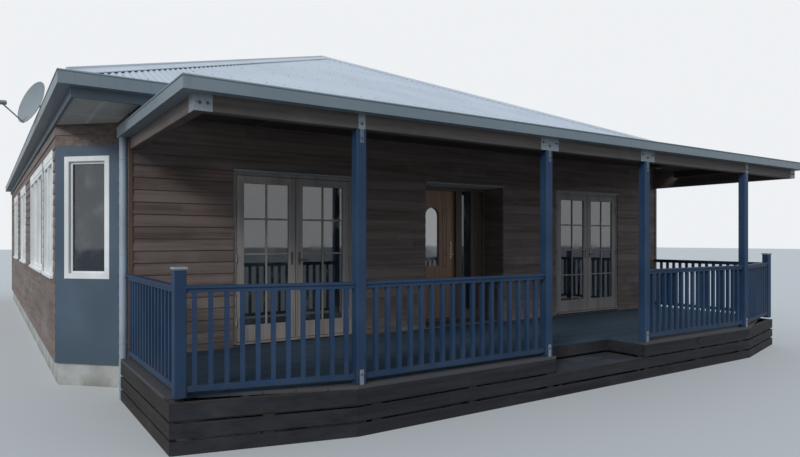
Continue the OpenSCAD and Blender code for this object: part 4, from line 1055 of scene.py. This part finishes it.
# Bands round the downpipes: the pipes' middle, and the bands' radius, thickness and heights
PIPE_X, PIPE_Y = 4.695, 0.05
BAND_R, BAND_THICK, BAND_HEIGHTS = 0.0405, 0.004, (0.6, 1.55, 2.55)
BAND_SIDES = 28
turns = [2 * math.pi * i / BAND_SIDES for i in range(BAND_SIDES)]
bands = []
for s in SIDES:
    for z in BAND_HEIGHTS:
        ring = [(s * PIPE_X + BAND_R * math.cos(a), PIPE_Y + BAND_R * math.sin(a), z)
                for a in turns]
        bands.append(tube("band", ring, BAND_THICK, True))
bands = joined("downpipe_bands", bands)
smooth(bands, 50)
finished(bands, PIPE)

# A lever on a plate on the leaf that opens first, and a bolt knob on the other
FITTING_IN, PLATE_HALF, PLATE_FOOT, PLATE_TOP = 0.045, 0.014, 1.39, 1.55
LEVER_Z, KNOB_Z, STEM_IN = 1.45, 1.5, 0.007
for node, (body, side) in leaves.items():
    low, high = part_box(node)
    x = low[0] + FITTING_IN if side > 0 else high[0] - FITTING_IN
    pieces = [block("plate", (x - PLATE_HALF, 0.0065, PLATE_FOOT),
                    (x + PLATE_HALF, 0.0105, PLATE_TOP))]
    if side > 0:
        stem = [(x, STEM_IN, LEVER_Z), (x, -0.034, LEVER_Z)]
        lever = [(x, -0.03, LEVER_Z), (x + 0.05, -0.032, LEVER_Z + 0.002),
                 (x + 0.095, -0.028, LEVER_Z - 0.004)]
        pieces += [tube("stem", stem, 0.008, sides=12), tube("lever", lever, 0.007, sides=12)]
    else:
        knob = [(x, STEM_IN, KNOB_Z), (x, -0.012, KNOB_Z)]
        pieces.append(tube("knob", knob, 0.009, sides=12))
    made(node + "_fitting", pieces, 0.001, BRONZE, body)

# Eased edges on the timber pieces
for node, (body, _) in leaves.items():
    softened(node, 0.003, DOOR_TIMBER, body)
softened("french_door_frames", 0.002, DOOR_TIMBER)
softened("entry_frame", 0.002, ENTRY_STAIN)
posts = softened("verandah_posts", 0.006, BLUE_PAINT)
second(posts, WEATHERED_CAP, lambda n, c: NEWEL_TOP - 0.015 < c.z < NEWEL_TOP + 0.02)
softened("railings", 0.003, BLUE_PAINT)
softened("window_frames", 0.003, WHITE_PAINT)
softened("entry_step", 0.004, STEP_TIMBER)
# The beams' returns to the wall have their own grain, and so have the ends of the skirting
beams = softened("verandah_beams", 0.005, BEAM_TIMBER)
second(beams, BEAM_SIDE, lambda n, c: abs(c.x) > HALF_FRONT - 0.095 and c.y > -VER_Y + 0.145)
skirting = softened("deck_skirting", 0.003, SKIRT_TIMBER)
second(skirting, SKIRT_SIDE, lambda n, c: abs(c.x) > DECK_X - 0.025)

# Finishes of the nodes that are shown as they are
plain = (
    (CONCRETE, ["foundation"]),
    (FLOORING, ["floor"]),
    (WALL_LINING, [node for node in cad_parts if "wall" in node]),
    (PANEL_PAINT, ["corner_panels"]),
    (GLASS, ["window_glass"]),
    (DOOR_GLASS, [node.replace("leaf", "glass") for node in leaves]),
    (FRONT_DOOR, ["front_door"]),
    (ARCH_GLASS, ["front_door_glass"]),
    (BRASS, ["front_door_handle"]),
    (CAP_STEEL, ["roof_caps"]),
    (SOFFIT_SHEET, ["soffit"]),
    (FASCIA_PAINT, ["fascia"]),
    (GUTTER_STEEL, ["main_gutter", "verandah_gutter"]),
    (RAFTER_TIMBER, ["verandah_rafters", "deck_frame", "deck_piles"]),
    (PIPE, ["downpipes"]),
    (ZINC, ["post_brackets", "head_flashings"]),
    (DISH_PAINT, ["satellite_dish"]),
)
for material, nodes in plain:
    for node in nodes:
        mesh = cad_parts[node].data
        mesh.materials.clear()
        mesh.materials.append(material)


# Floor, light and camera

def stage_floor():
    """A pale floor, dull grey where it only lights the house from below."""
    bpy.ops.mesh.primitive_plane_add(size=240, location=(0, 0, -0.001))
    o = bpy.context.object
    o.name = "ground"
    f = Finish("pale_ground", (0.62, 0.62, 0.61), 0.9)
    dull = f.node("ShaderNodeBsdfDiffuse", {}, {"Color": (0.34, 0.34, 0.34, 1)}, 0)
    seen = f.node("ShaderNodeLightPath", {}, {}, "Is Camera Ray")
    both = f.node("ShaderNodeMixShader", {}, {0: seen, 1: dull}, 0)
    f.tree.links.new(f.shader.outputs[0], both.socket.node.inputs[2])
    f.tree.links.new(both.socket, f.tree.nodes["Material Output"].inputs["Surface"])
    o.data.materials.append(f.material)


def backdrop(tree, color, strength):
    node = tree.nodes.new("ShaderNodeBackground")
    node.inputs["Color"].default_value = (*color, 1)
    node.inputs["Strength"].default_value = strength
    return node.outputs[0]


def sky():
    """Soft bluish light, and a paler one for the camera, for reflections and through glass."""
    world = bpy.data.worlds.new("plain_sky")
    bpy.context.scene.world = world
    world.use_nodes = True
    tree = world.node_tree
    tree.nodes.clear()
    out = tree.nodes.new("ShaderNodeOutputWorld")
    soft = backdrop(tree, (0.73, 0.85, 1.0), 0.66)
    seen = backdrop(tree, (0.86, 0.88, 0.9), 1.0)
    path = tree.nodes.new("ShaderNodeLightPath")
    share = path.outputs["Is Camera Ray"]
    for ray in ("Is Glossy Ray", "Is Transmission Ray"):
        most = tree.nodes.new("ShaderNodeMath")
        most.operation = "MAXIMUM"
        tree.links.new(share, most.inputs[0])
        tree.links.new(path.outputs[ray], most.inputs[1])
        share = most.outputs[0]
    mix = tree.nodes.new("ShaderNodeMixShader")
    for i, socket in enumerate((share, soft, seen)):
        tree.links.new(socket, mix.inputs[i])
    tree.links.new(mix.outputs[0], out.inputs[0])


def sun(direction, strength, angle, color):
    data = bpy.data.lights.new("soft_sun", "SUN")
    data.energy = strength
    data.angle = math.radians(angle)
    data.color = color
    o = bpy.data.objects.new("soft_sun", data)
    bpy.context.collection.objects.link(o)
    o.rotation_euler = Vector(direction).to_track_quat("-Z", "Y").to_euler()


# The photograph's size, its focal length and vanishing line in pixels, and the eye's place
IMAGE_W, IMAGE_H, FOCAL, CENTRE_X, HORIZON = 800, 457, 622.2, 397.75, 239.8
EYE, YAW, SENSOR = (-5.94, -7.095, 1.697), 33.69, 36


def camera():
    """A level camera, shifted so that the horizon lies where the photograph has it."""
    data = bpy.data.cameras.new("camera")
    data.sensor_width = SENSOR
    data.lens = SENSOR * FOCAL / IMAGE_W
    data.shift_x = (IMAGE_W / 2 - CENTRE_X) / IMAGE_W
    data.shift_y = (HORIZON - IMAGE_H / 2) / IMAGE_W
    data.clip_end = 500
    o = bpy.data.objects.new("camera", data)
    bpy.context.collection.objects.link(o)
    o.location = EYE
    o.rotation_euler = (math.radians(90), 0, -math.radians(YAW))
    bpy.context.scene.camera = o


stage_floor()
sky()
sun((0.85, 0.55, -0.58), 1.55, 16, (0.98, 0.98, 0.96))
camera()
bpy.context.scene.view_settings.view_transform = "Standard"
